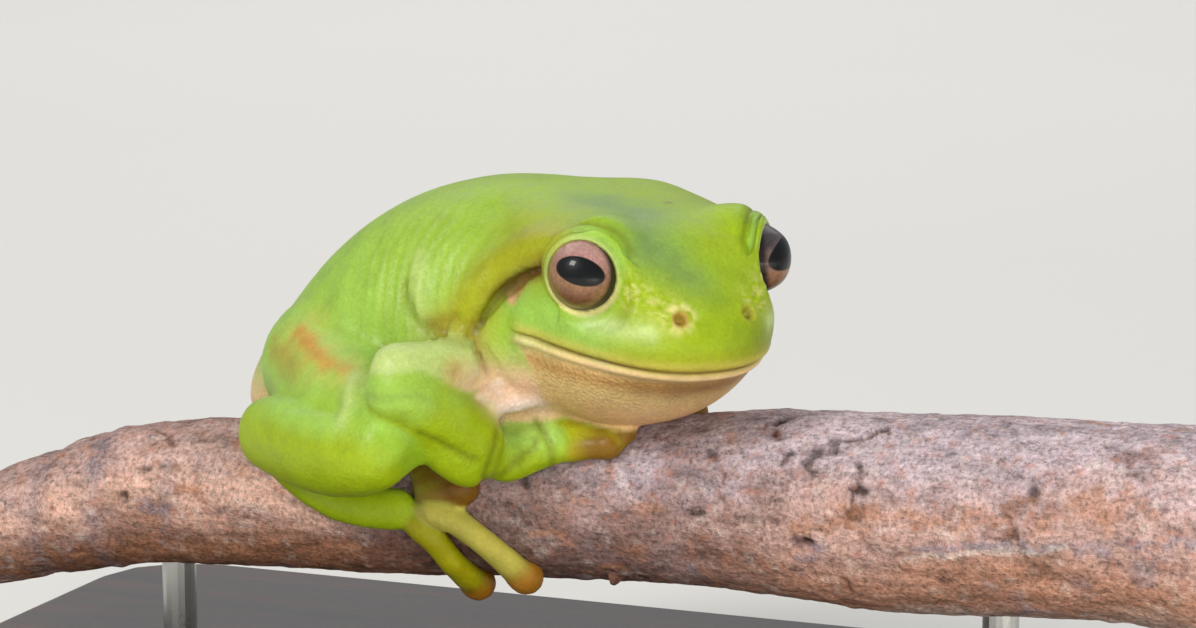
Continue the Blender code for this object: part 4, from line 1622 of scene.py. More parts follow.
        # PALE is the cheek's own pale band; FROST over its middle is a painted highlight.
        self.paint(
            (head * hill(cheek, 0.0, 1.6), Hue.PALE, 0.5),
            (head * hill(cheek + 0.4 * relief(self.folded, 1.2, 53), 0.0, 0.9), Hue.FROST, 0.55))
        jowl = self.from_line(self.jowl)
        self.paint((head * hill(jowl, 0.0, 2.4), Hue.MINT, 0.6))
        canthus = self.from_line(self.skin.face.canthus_line(self.skin.head))
        flaky = ramp(relief(self.folded * (1.0, 1.0, 1.7), 0.6, 51), -0.25, 0.6)
        self.paint(
            (head * hill(canthus, 0.0, 2.4), Hue.LIME, 0.8),
            (head * hill(canthus, 0.0, 1.7) * flaky, Hue.BUTTER, 0.6))
        nape = self.from_line(self.nape)
        self.paint((hill(nape, 0.0, 4.2), Hue.OLIVE, 0.4))
        self.lids()
        self.ears()
        self.lips()

    def from_line(self, route: Array | Route) -> Array:
        """The distance from a route in the head's frame, on either side."""
        return from_route(self.folded, np.array(route))[0]

    def lids(self) -> None:
        """A pale green roll and a butter-coloured margin, strongest below the eye, with painted
        shade in the creases over it and along the eyeball's edge.
        """
        lids = self.skin.lids
        for side in Side:
            away, angle, rise, ring = lids.measure(self.skin.head, side, self.points)
            near = fall(np.linalg.norm(away, axis=1), 5.6, 6.4)
            roll = near * fall(ring, 4.9, 5.4)
            self.paint((roll, Hue.LEAF, 0.6), (roll * ramp(rise, -0.2, 0.6), Hue.MINT, 0.6))
            margin = near * fall(ring, 4.25, 4.6)
            # The last layer is painted shade: a thin dark line where the lid meets the eyeball.
            self.paint(
                (margin, Hue.PALE, 0.45),
                (margin * ramp(-rise, -0.1, 0.6), Hue.BUTTER, 0.9),
                (near * fall(ring, 3.86, 4.0), Hue.SHADE, 0.75))
            # Painted shade in the two fine creases over the eye.
            inner = hill(angle, lids.inner_crease, 2.0) * ramp(rise, -0.7, 0.0)
            outer = hill(angle, lids.outer_crease, 3.0) * ramp(rise, -0.5, 0.3)
            self.paint((near * inner, Hue.MOSS, 0.6), (near * outer, Hue.MOSS, 0.6))

    def ears(self) -> None:
        """Tan eardrums under a yellow-olive fold, with brown and dark painted shade in the groove
        between.
        """
        folds = self.skin.head_folds
        self.paint(
            (self.from_fold(folds.brow_roll, 2.6), Hue.OLIVE, 0.85),
            (self.from_fold(folds.brow_roll, 1.2), Hue.LIME, 0.5))
        ear = self.from_line(self.skin.face.ear)
        radius = self.skin.face.ear_radius
        self.paint(
            (fall(ear, radius, 2.2 * radius), Hue.MINT, 0.5),
            (fall(ear, radius - 0.2, radius + 0.25), Hue.TAN, 0.75))
        low = ramp(-self.place[:, 2], 2.6, 4.4)
        self.paint((low * fall(ear, radius - 0.3, radius), Hue.MAUVE, 0.5))
        # Painted shade in the groove under the brow's roll, darkest and widest near its top.
        near = ramp(self.place[:, 2], -5.6, -3.0)
        self.paint(
            (self.from_fold(folds.ear_groove, 1.4), Hue.EARTH, 0.25 + 0.4 * near),
            (self.from_fold(folds.ear_groove, 0.6), Hue.MOSS, 0.8),
            (self.from_fold(folds.ear_groove, 0.35), Hue.SHADE, 0.7),
            (near * self.from_fold(folds.ear_groove, 0.8), Hue.SHADE, 0.95))

    def lips(self) -> None:
        """A brown line of painted shade in the mouth's crease, a cream lower lip and a tan throat.
        """
        mouth = self.skin.mouth
        place = self.place
        ahead, left, up = place.T
        above = mouth.above(place)
        jaw = self.on("lower_jaw", "head") * fall(above, -1.5, -0.9)
        jaw = np.maximum(jaw, self.on("lower_jaw") * fall(above, -0.6, 0.0))
        # PEACH lightens the lower throat, partly its own tone and partly painted light bounced from
        # below; the AMBER band is painted shade under the lower lip, and the dark chin front is
        # painted shadow.
        self.paint(
            (jaw, Hue.CREAM, 0.9),
            (jaw * fall(above, -8.5, -4.0), Hue.PEACH, 0.7),
            (jaw * hill(above, -2.6, 1.3), Hue.AMBER, 0.55),
            (jaw * ramp(ahead, 2.0, 11.0), Hue.EARTH, 0.75),
            (jaw * fall(ahead, -10.0, -5.0), Hue.MAUVE, 0.6))
        corner = jaw * fall(ahead, -8.6, -6.6) * ramp(above, -4.5, -2.0)
        self.paint((corner, Hue.MINT, 0.7))
        along = mouth.along(place)
        self.paint((along * hill(above, -0.8, 0.55), Hue.CREAM, 0.95))
        rear = fall(ahead, -7.0, 1.0)
        # The AMBER and BROWN lines along the crease are painted shade in the mouth's crease.
        self.paint(
            (along * rear * hill(above, -0.8, 0.9), Hue.PALE, 0.6),
            (along * hill(above, 0.75, 0.6), Hue.STRAW, 0.65),
            (along * hill(above, 0.1, 0.32), Hue.AMBER, 0.45),
            (along * (1.0 - 0.6 * rear) * hill(above, -0.02, 0.15), Hue.BROWN, 0.7))
        nostril = apart(self.folded, self.skin.face.nostril)
        flaky = ramp(lump(place, 0.8, 66), -0.35, 0.35) * (left < 0.0)
        outer = ramp(self.skin.face.nostril[0] + 0.5 - ahead, -0.6, 0.6)
        right = (left < 0.0) * 0.7 + 0.3
        # The brown and amber pits are painted shade in the nostrils; the far nostril lacks the pale
        # flakes and gets less of the tan rim and amber, as painted shade on the side away from the
        # light.
        self.paint(
            (hill(nostril, 1.2, 0.75) * flaky * (0.4 + 0.6 * outer), Hue.BUTTER, 0.85),
            (right * hill(nostril, 0.75, 0.3), Hue.TAN, 0.5),
            (right * hill(nostril, 0.0, 0.66), Hue.AMBER, 0.9),
            (hill(nostril, 0.0, 0.5), Hue.BROWN, 0.95))
        behind = 1.3 * self.skin.head.eye_radius
        speck = np.hypot(ahead + behind, left - 0.5 * behind)
        self.paint(((up > 0.0) * hill(speck, 0.0, 0.5), Hue.BROWN, 0.6))

    def limbs(self) -> None:
        """Arms, legs, fingers and toes, with painted shade in the creases, on the inner toes and
        partly on the finger pads.
        """
        for side in Side:
            word = side.word
            for kind, low, high, level in (
                    ("upper_arm", Hue.MINT, Hue.PALE, 0.1), ("forearm", Hue.LIME, Hue.MINT, 0.6),
                    ("hand", Hue.LIME, Hue.MINT, 0.45), ("thigh", Hue.LEAF, Hue.MINT, 0.3),
                    ("shank", Hue.LIME, Hue.MINT, 0.6), ("foot", Hue.LIME, Hue.MINT, 0.5)):
                self.limb(kind + "_" + word, low, high, level)
            # Finger pads are partly their own brown and partly painted shade under the throat; toes
            # 1 to 3 are dark brown all along as painted shade.
            for number in range(1, 5):
                self.digit("finger_%s_%d" % (word, number), Hue.OLIVE, Hue.EARTH)
            for number in range(1, 6):
                shaft = {4: Hue.STRAW, 5: Hue.OLIVE}.get(number, Hue.EARTH)
                pad = Hue.AMBER if number > 3 else Hue.EARTH
                self.digit("toe_%s_%d" % (word, number), shaft, pad)
        folds = self.skin.body_folds
        # Painted shade in the creases of wrist, palm, thumb, forearm and elbow.
        for fold in (folds.wrist, folds.palm, folds.thumb, folds.forearm, folds.elbow):
            self.paint((self.from_fold(fold, 0.42), Hue.MOSS, 0.75))
        self.paint((self.from_fold(folds.elbow, 1.6), Hue.MINT, 0.5))
        front = ramp(self.points[:, 0], -7.4, -5.0) * ramp(-self.points[:, 1], 8.0, 12.0)
        front *= hill(self.points[:, 2], 47.0, 2.8) * self.on("upper_arm_right", "trunk")
        self.paint((front, Hue.MAUVE, 0.85))
        ochre = node_middle("upper_arm_right") + (3.5, 0.0, 0.0)
        self.paint(
            (hill(apart(self.points, ochre), 0.0, 1.5), Hue.AMBER, 0.55),
            (front * ramp(relief(self.points, 1.5, 63), 0.1, 0.8), Hue.PEARL, 0.6))
        stripes = self.stripes
        legs = self.on("thigh_right", "thigh_left", "trunk")
        for side in Side:
            stripe, rump = stripes.thigh.placed(side), stripes.rump.placed(side)
            self.paint(
                (legs * self.along(stripe, 3.0, 1.2), Hue.STRAW, 0.5),
                (legs * self.along(stripe, 1.0, 0.4), Hue.RUST, 0.6),
                (legs * self.along(rump, 2.2, 0.8), Hue.AMBER, 0.45))
        self.paint(
            (self.from_fold(folds.flap, 0.9), Hue.PALE, 0.5),
            (self.from_fold(folds.chest_roll, 2.0), Hue.MAUVE, 0.9),
            (self.from_fold(folds.chest_roll, 1.3), Hue.PEARL, 0.9))

    def limb(self, name: str, low: Hue, high: Hue, level: float) -> None:
        """One length of a limb, in one colour below and a lighter one above, partly its own paler
        top and partly painted light from above.

        Args:
            name: the node.
            low: the colour of its lower part.
            high: the colour of its upper part, partly painted light.
            level: where one turns into the other, as a share of the node's height.
        """
        mask = self.on(name)
        bottom, top = (corner.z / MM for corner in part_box(name))
        rise = (self.points[:, 2] - bottom) / (top - bottom) + 0.15 * relief(self.points, 4.0, 67)
        # The upper colour is partly the limb's own paler top and partly painted light from above.
        self.paint((mask, low, 0.85), (mask * ramp(rise, level - 0.1, level + 0.4), high, 0.8))

    def digit(self, name: str, shaft: Hue, pad: Hue) -> None:
        """One finger or toe, with its pad in another colour.

        Args:
            name: the node.
            shaft: the colour of its length.
            pad: the colour of its tip.
        """
        mask = self.on(name)
        self.paint((mask, shaft, 0.85))
        from_tip = apart(self.points, self.skin.tip(name))
        fade = 6.5 if name.startswith("finger") else 5.0
        self.paint((mask * fall(from_tip, 2.6, fade), pad, 0.9))


# ---------------------------------------------------------------- finishes


@dataclass(frozen=True)
class SkinFinish:
    """Moist, finely granular skin over the markings, coarser on the throat and belly."""

    roughness: float = 0.46
    fine: float = 2500.0
    coarse: float = 2400.0

    def material(self) -> bpy.types.Material:
        """The finish as a material.

        Returns:
            The material.
        """
        sketch = Sketch("frog_skin")
        place = sketch.place()
        tint = sketch.stored("tint", "Color")
        grain = sketch.stored("grain")
        cloud = sketch.noise(place, 420.0, 4.0, 0.6)
        shade = sketch.steps(cloud, [(0.32, 0.9), (0.5, 1.0), (0.7, 1.07)])
        tone = sketch.tinted(tint, shade)
        fleck = sketch.noise(place, 2400.0, 2.0, 0.6)
        tone = sketch.tinted(tone, sketch.steps(fleck, [(0.35, 0.9), (0.62, 1.05)]), 0.7)
        beads = sketch.node("TexVoronoi", {"feature": "SMOOTH_F1"}, Vector=place,
                            Scale=self.coarse, Smoothness=0.5).outputs["Distance"]
        between = sketch.times(sketch.steps(beads, [(0.3, 0.0), (0.62, 1.0)]), grain)
        tone = sketch.mix(sketch.times(between, 0.26), tone,
                          sketch.tinted(tone, linear(196, 142, 84)))
        cells = sketch.node("TexVoronoi", {"feature": "SMOOTH_F1"}, Vector=place,
                            Scale=self.fine, Smoothness=0.6).outputs["Distance"]
        soft = sketch.noise(place, 900.0, 3.0)
        under = sketch.bump(soft, 0.3, 0.0002)
        fine = sketch.bump(cells, 0.4, 0.00012, under)
        made = sketch.node("Bump", {"invert": True}, Height=beads, Distance=0.00028,
                           Strength=sketch.times(grain, 0.4), Normal=fine)
        gloss = sketch.steps(cloud, [(0.35, self.roughness - 0.05), (0.7, self.roughness + 0.1)])
        return sketch.finish(Base_Color=tone, Roughness=gloss, Normal=made.outputs[0],
                             Subsurface_Weight=0.12, Subsurface_Radius=(1.0, 0.8, 0.3),
                             Subsurface_Scale=0.0008, Specular_IOR_Level=0.32,
                             Coat_Weight=0.07, Coat_Roughness=0.25)


@dataclass(frozen=True)
class EyeFinish:
    """A wet eye: a level black pupil in an iris, pinkish above and brown below.

    The attributes across and rise are angles from the pupil's middle, in radians, and
    off_rim is the angle from the eyeball's own axis.
    """

    upper: tuple[int, int, int] = (172, 130, 122)
    middle: tuple[int, int, int] = (148, 106, 90)
    half_width: float = 0.72
    half_height: float = 0.37
    rim: tuple[float, float] = (1.02, 1.26)

    def material(self) -> bpy.types.Material:
        """The finish as a material.

        Returns:
            The material.
        """
        sketch = Sketch("wet_eye")
        place = sketch.place()
        across = sketch.stored("across")
        rise = sketch.stored("rise")
        off_rim = sketch.stored("off_rim")
        wide = sketch.math("POWER", sketch.math("ABSOLUTE", sketch.math(
            "DIVIDE", across, self.half_width)), 1.9)
        high = sketch.math("POWER", sketch.math("ABSOLUTE", sketch.math(
            "DIVIDE", rise, self.half_height)), 2.0)
        out = sketch.math("POWER", sketch.math("ADD", wide, high), 0.5)
        veins = sketch.noise(place, 1500.0, 5.0, 0.7, 1.2)
        height = sketch.math("MULTIPLY_ADD", rise, 0.55)
        sketch.feed(height.node.inputs[2], 0.5)
        iris = sketch.steps(height, [(0.08, linear(112, 76, 50)), (0.3, linear(142, 104, 76)),
                                     (0.52, linear(*self.middle)), (0.78, linear(*self.upper))])
        webbed = sketch.steps(veins, [(0.34, 0.6), (0.5, 0.95), (0.66, 1.25)])
        iris = sketch.tinted(iris, webbed, 0.9)
        low, high_edge = self.rim
        skew = sketch.math("SUBTRACT", sketch.times(across, 0.18), sketch.times(rise, 0.09))
        ring = sketch.node("MapRange", {"interpolation_type": "SMOOTHSTEP"},
                           Value=sketch.math("ADD", off_rim, skew),
                           From_Min=low, From_Max=high_edge).outputs[0]
        iris = sketch.mix(ring, iris, linear(34, 22, 16))
        pupil = sketch.node("MapRange", {"interpolation_type": "SMOOTHSTEP"}, Value=out,
                            From_Min=0.94, From_Max=1.04).outputs[0]
        tone = sketch.mix(pupil, linear(6, 8, 10), iris)
        return sketch.finish(Base_Color=tone, Roughness=0.4, Specular_IOR_Level=0.2,
                             Coat_Weight=0.45, Coat_Roughness=0.015, Coat_IOR=1.4,
                             Normal=sketch.bump(veins, 0.12, 0.00006))


@dataclass(frozen=True)
class BarkFinish:
    """Weathered bark over its own stored tints, with sawn wood at both ends."""

    def material(self) -> bpy.types.Material:
        """The finish as a material.

        Returns:
            The material.
        """
        sketch = Sketch("weathered_bark")
        place = sketch.place()
        drawn = sketch.place(scale=(0.35, 1.0, 1.0))
        tint = sketch.stored("tint", "Color")
        wood = sketch.stored("wood")
        depth = sketch.stored("depth")
        coarse = sketch.noise(drawn, 520.0, 6.0, 0.7)
        fine = sketch.noise(place, 1900.0, 4.0, 0.75)
        tone = sketch.tinted(tint, sketch.steps(coarse, [(0.32, 0.5), (0.48, 1.0), (0.68, 1.3)]))
        tone = sketch.tinted(tone, sketch.steps(fine, [(0.34, 0.5), (0.46, 0.95), (0.64, 1.4)]))
        rosy = sketch.noise(place, 760.0, 3.0, 0.6)
        tone = sketch.mix(sketch.times(sketch.steps(rosy, [(0.55, 0.0), (0.68, 1.0)]),
                                      0.4), tone, linear(196, 128, 100))
        wobble = sketch.noise(place, 300.0, 3.0)
        rings = sketch.math("SINE", sketch.math("ADD", sketch.times(depth, 7.0),
                                                sketch.times(wobble, 3.0)))
        grain = sketch.steps(sketch.math("MULTIPLY_ADD", rings, 0.5), [(0.0, 0.86), (1.0, 1.1)])
        cut = sketch.tinted(sketch.tinted(linear(196, 160, 116), grain, 0.6),
                            sketch.steps(fine, [(0.3, 0.85), (0.7, 1.1)]))
        tone = sketch.mix(wood, tone, cut)
        rough = sketch.bump(coarse, 0.9, 0.0009)
        beads = sketch.node("TexVoronoi", {"feature": "F1"}, Vector=place, Scale=1300.0,
                            Randomness=1.0).outputs["Distance"]
        beaded = sketch.bump(beads, 0.35, 0.0003, rough)
        return sketch.finish(Base_Color=tone, Roughness=0.86,
                             Normal=sketch.bump(fine, 0.8, 0.0005, beaded),
                             Specular_IOR_Level=0.3)


@dataclass(frozen=True)
class StainedWood:
    """Dark stained, satin lacquered wood, its grain along the base."""

    def material(self) -> bpy.types.Material:
        """The finish as a material.

        Returns:
            The material.
        """
        sketch = Sketch("stained_wood")
        drawn = sketch.place(scale=(0.06, 1.0, 0.4))
        figure = sketch.noise(drawn, 160.0, 4.0, 0.6, 1.6)
        pores = sketch.noise(sketch.place(scale=(0.04, 1.0, 1.0)), 2400.0, 2.0, 0.7)
        tone = sketch.steps(figure, [(0.3, linear(30, 19, 14)), (0.5, linear(52, 34, 24)),
                                     (0.7, linear(74, 50, 35))])
        tone = sketch.tinted(tone, sketch.steps(pores, [(0.36, 0.55), (0.5, 1.0)]), 0.9)
        return sketch.finish(Base_Color=tone, Coat_Weight=0.35, Coat_Roughness=0.12,
                             Roughness=sketch.steps(figure, [(0.3, 0.3), (0.7, 0.46)]),
                             Normal=sketch.bump(pores, 0.25, 0.00012))


@dataclass(frozen=True)
class BrushedSteel:
    """Steel rod, brushed along its length."""

    def material(self) -> bpy.types.Material:
        """The finish as a material.

        Returns:
            The material.
        """
        sketch = Sketch("brushed_steel")
        drawn = sketch.place(scale=(1.0, 1.0, 0.02))
        strokes = sketch.noise(drawn, 4200.0, 3.0, 0.7)
        smudge = sketch.noise(sketch.place(), 140.0, 3.0)
        tone = sketch.mix(strokes, linear(176, 176, 172), linear(206, 206, 202))
        gloss = sketch.math("ADD", sketch.times(smudge, 0.16), 0.2)
        return sketch.finish(Base_Color=tone, Metallic=1.0, Roughness=gloss,
                             Normal=sketch.bump(strokes, 0.3, 0.00005))


# ---------------------------------------------------------------- eyes, perch and stand


def closed_grid(rows: Array, first: Array, last: Array) -> tuple[Array, Array]:
    """A closed surface over rows of rings, drawn together at a pole at each end.

    Args:
        rows: the points, as rows x columns x 3, the columns running round.
        first: the pole before the first row.
        last: the pole after the last row.

    Returns:
        The points and the triangles, which face outwards.
    """
    count, columns = rows.shape[:2]
    points = np.vstack([first[None], rows.reshape(-1, 3), last[None]])
    number = 1 + np.arange(count * columns).reshape(count, columns)
    turned = np.roll(number, -1, axis=1)
    a, b, c, d = number[:-1], turned[:-1], turned[1:], number[1:]
    sides = [np.stack([a, b, c], axis=-1).reshape(-1, 3), np.stack([a, c, d], axis=-1
                                                                  ).reshape(-1, 3)]
    start = np.stack([np.zeros(columns, int), turned[0], number[0]], axis=-1)
    end = np.stack([np.full(columns, len(points) - 1), number[-1], turned[-1]], axis=-1)
    faces = np.vstack([start, *sides, end])
    corners = points[faces]
    volume = np.einsum("ij,ij->", corners[:, 0], np.cross(corners[:, 1], corners[:, 2]))
    return points, faces if volume > 0.0 else faces[:, ::-1]


@dataclass
class FrogEye:
    """One eyeball: a ball with a clear bulge in front and its pupil turned a little ahead."""

    head: HeadFrame
    side: Side
    axis_turn: float = 47.6
    pupil_turn: float = 40.0
    pupil_rise: float = 15.0
    bulge: float = 0.26
    bulge_edge: tuple[float, float] = (26.0, 64.0)
    tilt: float = 12.0
    rows: int = 90
    columns: int = 128

    def build(self) -> Piece:
        """Make the eyeball and dress it.

        Its points lie on rings round the pupil's axis, at radius + bulge * (1 - ramp),
        the ramp running over the angle off the eyeball's own axis.

        Returns:
            The finished piece.
        """
        node = "eye_" + self.side.word
        radius = 0.5 * node_size(node).max()
        gaze = self.head.direction(self.pupil_turn, self.pupil_rise, self.side)
        axis = self.head.direction(self.axis_turn, 0.0, self.side)
        level = -self.side.value * np.cross(self.head.axes[2], gaze)
        level /= np.linalg.norm(level)
        lift = -self.side.value * np.cross(gaze, level)
        cosine, sine = math.cos(math.radians(self.tilt)), math.sin(math.radians(self.tilt))
        level, lift = cosine * level - sine * lift, sine * level + cosine * lift
        polar = np.linspace(0.0, math.pi, self.rows + 2)[1:-1]
        turn = np.linspace(0.0, 2.0 * math.pi, self.columns, endpoint=False)
        polar, turn = np.meshgrid(polar, turn, indexing="ij")
        out = np.cos(polar)[..., None] * gaze + np.sin(polar)[..., None] * (
            np.cos(turn)[..., None] * level + np.sin(turn)[..., None] * lift)
        points, faces = closed_grid(out, gaze, -gaze)
        off = np.arccos(np.clip(points @ axis, -1.0, 1.0))
        reach = radius + self.bulge * fall(np.degrees(off), *self.bulge_edge)
        piece = surface_object("frog_" + node, node_middle(node) + points * reach[:, None], faces)
        away = np.arccos(np.clip(points @ gaze, -1.0, 1.0))
        flat = np.hypot(points @ level, points @ lift) + 1e-9
        set_numbers(piece, "across", away * (points @ level) / flat)
        set_numbers(piece, "rise", away * (points @ lift) / flat)
        set_numbers(piece, "off_rim", off)
        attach(piece, "root")
        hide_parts(node)
        return piece


class BarkHue(Enum):
    """The bark's colours, in display numbers."""

    ASH = (190, 172, 178)
    ROSE = (186, 152, 142)
    RUSSET = (176, 124, 92)
    UMBER = (112, 76, 58)
    SLATE = (138, 128, 138)
    CHALK = (214, 200, 190)
    BLUSH = (224, 180, 160)
    PIT = (60, 42, 40)

    def light(self) -> Array:
        """The colour as linear light."""
        return linear(*self.value)


@dataclass(frozen=True)
class BarkMark:
    """A mark on the bark, told by where it starts, how long it is and how it bends.

    The place is a share of the branch's length and an angle from its top.  The slant
    is in degrees from the branch's own line towards its underside, and the bend is how
    far the mark has turned by its end.
    """

    place: tuple[float, float]
    length: float
    slant: float
    bend: float
    width: float
    height: float
    hue: BarkHue
    strength: float = 0.9
    ragged: float = 0.35

    def run(self, start: Array, steps: int = 6) -> Array:
        """The mark over the unrolled bark, from its start."""
        return start + strides(self.length, self.slant, self.bend, steps)


@dataclass(frozen=True)
class Strewn:
    """Small marks of one kind, strewn by chance over the whole bark."""

    count: int
    length: tuple[float, float]
    slant: float
    width: tuple[float, float]
    height: float
    hue: BarkHue
    strength: float

    def marks(self, chance: np.random.Generator) -> list[BarkMark]:
        """The marks, each with its own place, length, slant, bend and width.

        Args:
            chance: the source of random numbers.

        Returns:
            The marks.
        """
        return [BarkMark((chance.uniform(0.02, 0.98), chance.uniform(-180.0, 180.0)),
                         chance.uniform(*self.length), chance.normal(self.slant, 25.0),
                         chance.uniform(-70.0, 70.0), chance.uniform(*self.width),
                         self.height, self.hue, self.strength, 0.6)
                for _ in range(self.count)]


@dataclass
class Perch:
    """The cut length of branch: its bark, its marks and its two sawn ends."""

    rows: int = 400
    columns: int = 208
    cap_rows: int = 16
    rim: float = 0.5
    saw_depth: float = 0.05
    saw_pitch: float = 1.7
    marks: tuple[BarkMark, ...] = (
        BarkMark((0.67, 30.0), 3.5, -110.0, 70.0, 0.55, -0.6, BarkHue.PIT, 0.95, 0.3),
        BarkMark((0.7, 55.0), 5.0, -60.0, 25.0, 1.0, -0.4, BarkHue.PIT, 0.75, 0.9),
        BarkMark((0.72, 40.0), 6.0, -40.0, 20.0, 0.6, -0.45, BarkHue.PIT, 0.8, 0.7),
        BarkMark((0.74, 50.0), 6.5, 70.0, 40.0, 0.35, -0.4, BarkHue.PIT, 0.85, 0.6),
        BarkMark((0.74, 65.0), 1.5, 0.0, 0.0, 0.7, -0.4, BarkHue.PIT, 0.9, 0.4),
        BarkMark((0.74, 80.0), 1.5, 0.0, 0.0, 0.6, -0.35, BarkHue.PIT, 0.85, 0.5),
        BarkMark((0.7, 100.0), 1.5, 20.0, 0.0, 0.85, -0.9, BarkHue.PIT, 1.0, 0.25),
        BarkMark((0.87, 60.0), 1.2, 60.0, 0.0, 0.75, -0.6, BarkHue.PIT, 0.85, 0.3),
        BarkMark((0.93, 40.0), 4.5, -25.0, 0.0, 1.6, -0.2, BarkHue.UMBER, 0.45, 0.5),
        BarkMark((0.79, 100.0), 30.0, -8.0, 5.0, 0.55, 0.1, BarkHue.SLATE, 0.7, 0.6),
        BarkMark((0.78, 105.0), 18.0, -8.0, 0.0, 0.4, 0.15, BarkHue.CHALK, 0.6, 0.4),
        BarkMark((0.7, 90.0), 38.0, -6.0, 0.0, 1.5, 0.0, BarkHue.RUSSET, 0.55, 1.4),
        BarkMark((0.67, 70.0), 3.0, 60.0, 0.0, 2.6, -0.15, BarkHue.UMBER, 0.45, 1.2),
        BarkMark((0.62, 110.0), 5.5, 15.0, 0.0, 2.4, -0.15, BarkHue.UMBER, 0.55, 1.5),
        BarkMark((0.15, 130.0), 18.0, 8.0, 0.0, 2.2, 0.0, BarkHue.RUSSET, 0.5, 1.6))
    strewn: tuple[Strewn, ...] = (
        Strewn(26, (0.6, 1.8), 0.0, (0.35, 0.7), -0.35, BarkHue.PIT, 0.75),
        Strewn(26, (2.0, 5.0), 60.0, (0.3, 0.5), -0.3, BarkHue.UMBER, 0.7),
        Strewn(22, (1.5, 5.0), 0.0, (0.4, 0.8), -0.05, BarkHue.RUSSET, 0.7),
        Strewn(16, (1.0, 4.0), 0.0, (0.5, 1.2), 0.05, BarkHue.SLATE, 0.6))
    seed: int = 23
    knots: tuple[tuple[float, float, float, float], ...] = (
        (7.0, 150.0, 0.9, 1.0), (-20.0, -70.0, 2.0, 0.5), (55.0, -90.0, 2.4, 0.6))
    rings: tuple[tuple[float, float, float], ...] = ((-65.5, 1.3, -0.35), (-57.0, 1.0, 0.2))

    def profile(self, along: Array) -> tuple[Array, Array]:
        """The height of the centre line and the radius, at distances along the branch.

        Both are read from the rings of the node's own points and passed through by a
        smooth curve.

        Args:
            along: distances along the branch.

        Returns:
            The heights and the radii.
        """
        points = node_points("perch")
        stations = []
        for x in np.unique(np.round(points[:, 0], 1)):
            ring = points[np.abs(points[:, 0] - x) < 0.06]
            radius = 0.5 * np.ptp(ring[:, 2])
            if radius > 5.0:
                stations.append((x, ring[:, 2].max() - radius, radius))
        curve = curve_through(np.array(stations), 12 * len(stations))
        return (np.interp(along, curve[:, 0], curve[:, 1]),
                np.interp(along, curve[:, 0], curve[:, 2]))

    def build(self) -> Piece:
        """Make the perch and dress it.

        Point (along, angle) lies at (radius + relief) from the centre line, the angle
        counted from the top towards the frog's right.  The last rows draw in over a
        rounded rim, and the caps close each end with saw marks.

        Returns:
            The finished piece.
        """
        low, high = (corner.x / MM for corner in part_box("perch"))
        along = np.linspace(low, high, self.rows)
        angle = np.linspace(0.0, 2.0 * math.pi, self.columns, endpoint=False)
        x, turn = np.meshgrid(along, angle, indexing="ij")
        height, radius = self.profile(x)
        base = np.stack([x, -radius * np.sin(turn), height + radius * np.cos(turn)], axis=-1)
        tall, tint = self.bark(x.ravel(), turn.ravel(), radius.ravel(), base.reshape(-1, 3))
        from_end = np.minimum(x - low, high - x)
        inset = self.rim - np.sqrt(np.maximum(
            self.rim**2 - np.maximum(self.rim - from_end, 0.0) ** 2, 0.0))
        reach = radius + tall.reshape(x.shape) - inset
        rows = np.stack([x, -reach * np.sin(turn), height + reach * np.cos(turn)], axis=-1)
        caps = [self.cap(rows[end], height[end, 0]) for end in (0, -1)]
        full = np.concatenate([caps[0][::-1], rows, caps[1]])
        poles = [np.array((rows[end, 0, 0], 0.0, height[end, 0])) for end in (0, -1)]
        points, faces = closed_grid(full, *poles)
        piece = surface_object("branch_perch", points, faces)
        self.dress(piece, tint, full.shape, rows.shape, reach)
        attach(piece, "root")
        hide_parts("perch")
        return piece

    def cap_shares(self) -> Array:
        """The rows of a sawn end, as shares of its radius."""
        return np.linspace(0.97, 0.06, self.cap_rows)[:, None]

    def cap(self, ring: Array, height: float) -> Array:
        """Rows of a sawn end, from its rim inwards, with faint saw marks.

        Args:
            ring: the last ring of bark.
            height: the height of the centre line there.

        Returns:
            The rows, as rows x columns x 3.
        """
        middle = np.array((ring[0, 0], 0.0, height))
        shares = self.cap_shares()[..., None]
        rows = middle + shares * (ring - middle)
        saw = self.saw_depth * wave((rows[..., 1] + 0.4 * rows[..., 2]) / self.saw_pitch)
        rows[..., 0] += saw * np.minimum(1.0, 6.0 * (1.0 - shares[..., 0]))
        return rows

    def bark(self, x: Array, turn: Array, radius: Array, base: Array) -> tuple[Array, Array]:
        """The bark's relief and colour at each of its points.

        Args:
            x: distances along the branch.
            turn: angles from the top, in radians.
            radius: the branch's radius there.
            base: the points before any relief.

        Returns:
            The heights over the plain branch and the linear colours.
        """
        drawn = base * (0.4, 1.0, 1.0)
        height = 0.22 * relief(drawn, 7.0, 81, 2) + 0.13 * relief(base, 1.9, 83, 2)
        height += 0.1 * np.abs(lump(drawn, 1.3, 85))
        tint = self.ground(x, turn, base)
        degrees = (np.degrees(turn) + 180.0) % 360.0 - 180.0
        flat = np.column_stack([x, np.radians(degrees) * radius])
        wander = np.column_stack([relief(base, 1.5, 86), relief(base, 1.5, 89)])
        grit = 0.8 + 0.45 * lump(base, 0.8, 88)
        chance = np.random.default_rng(self.seed)
        strewn = [mark for kind in self.strewn for mark in kind.marks(chance)]
        for mark in [*self.marks, *strewn]:
            along = x.min() + mark.place[0] * np.ptp(x)
            girth = np.interp(along, x[::self.columns], radius[::self.columns])
            route = mark.run(np.array((along, math.radians(mark.place[1]) * girth)))
            distance = from_route(flat + mark.ragged * wander, route)[0]
            mask = hill(distance, 0.0, mark.width) * grit
            height += mark.height * mask
            share = np.clip(mark.strength * ramp(mask, 0.15, 0.85), 0.0, 1.0)[:, None]
            tint += share * (mark.hue.light() - tint)
        for place, angle, size, rise in self.knots:
            centre = np.array((place, math.radians(angle) * np.interp(
                place, x[::self.columns], radius[::self.columns])))
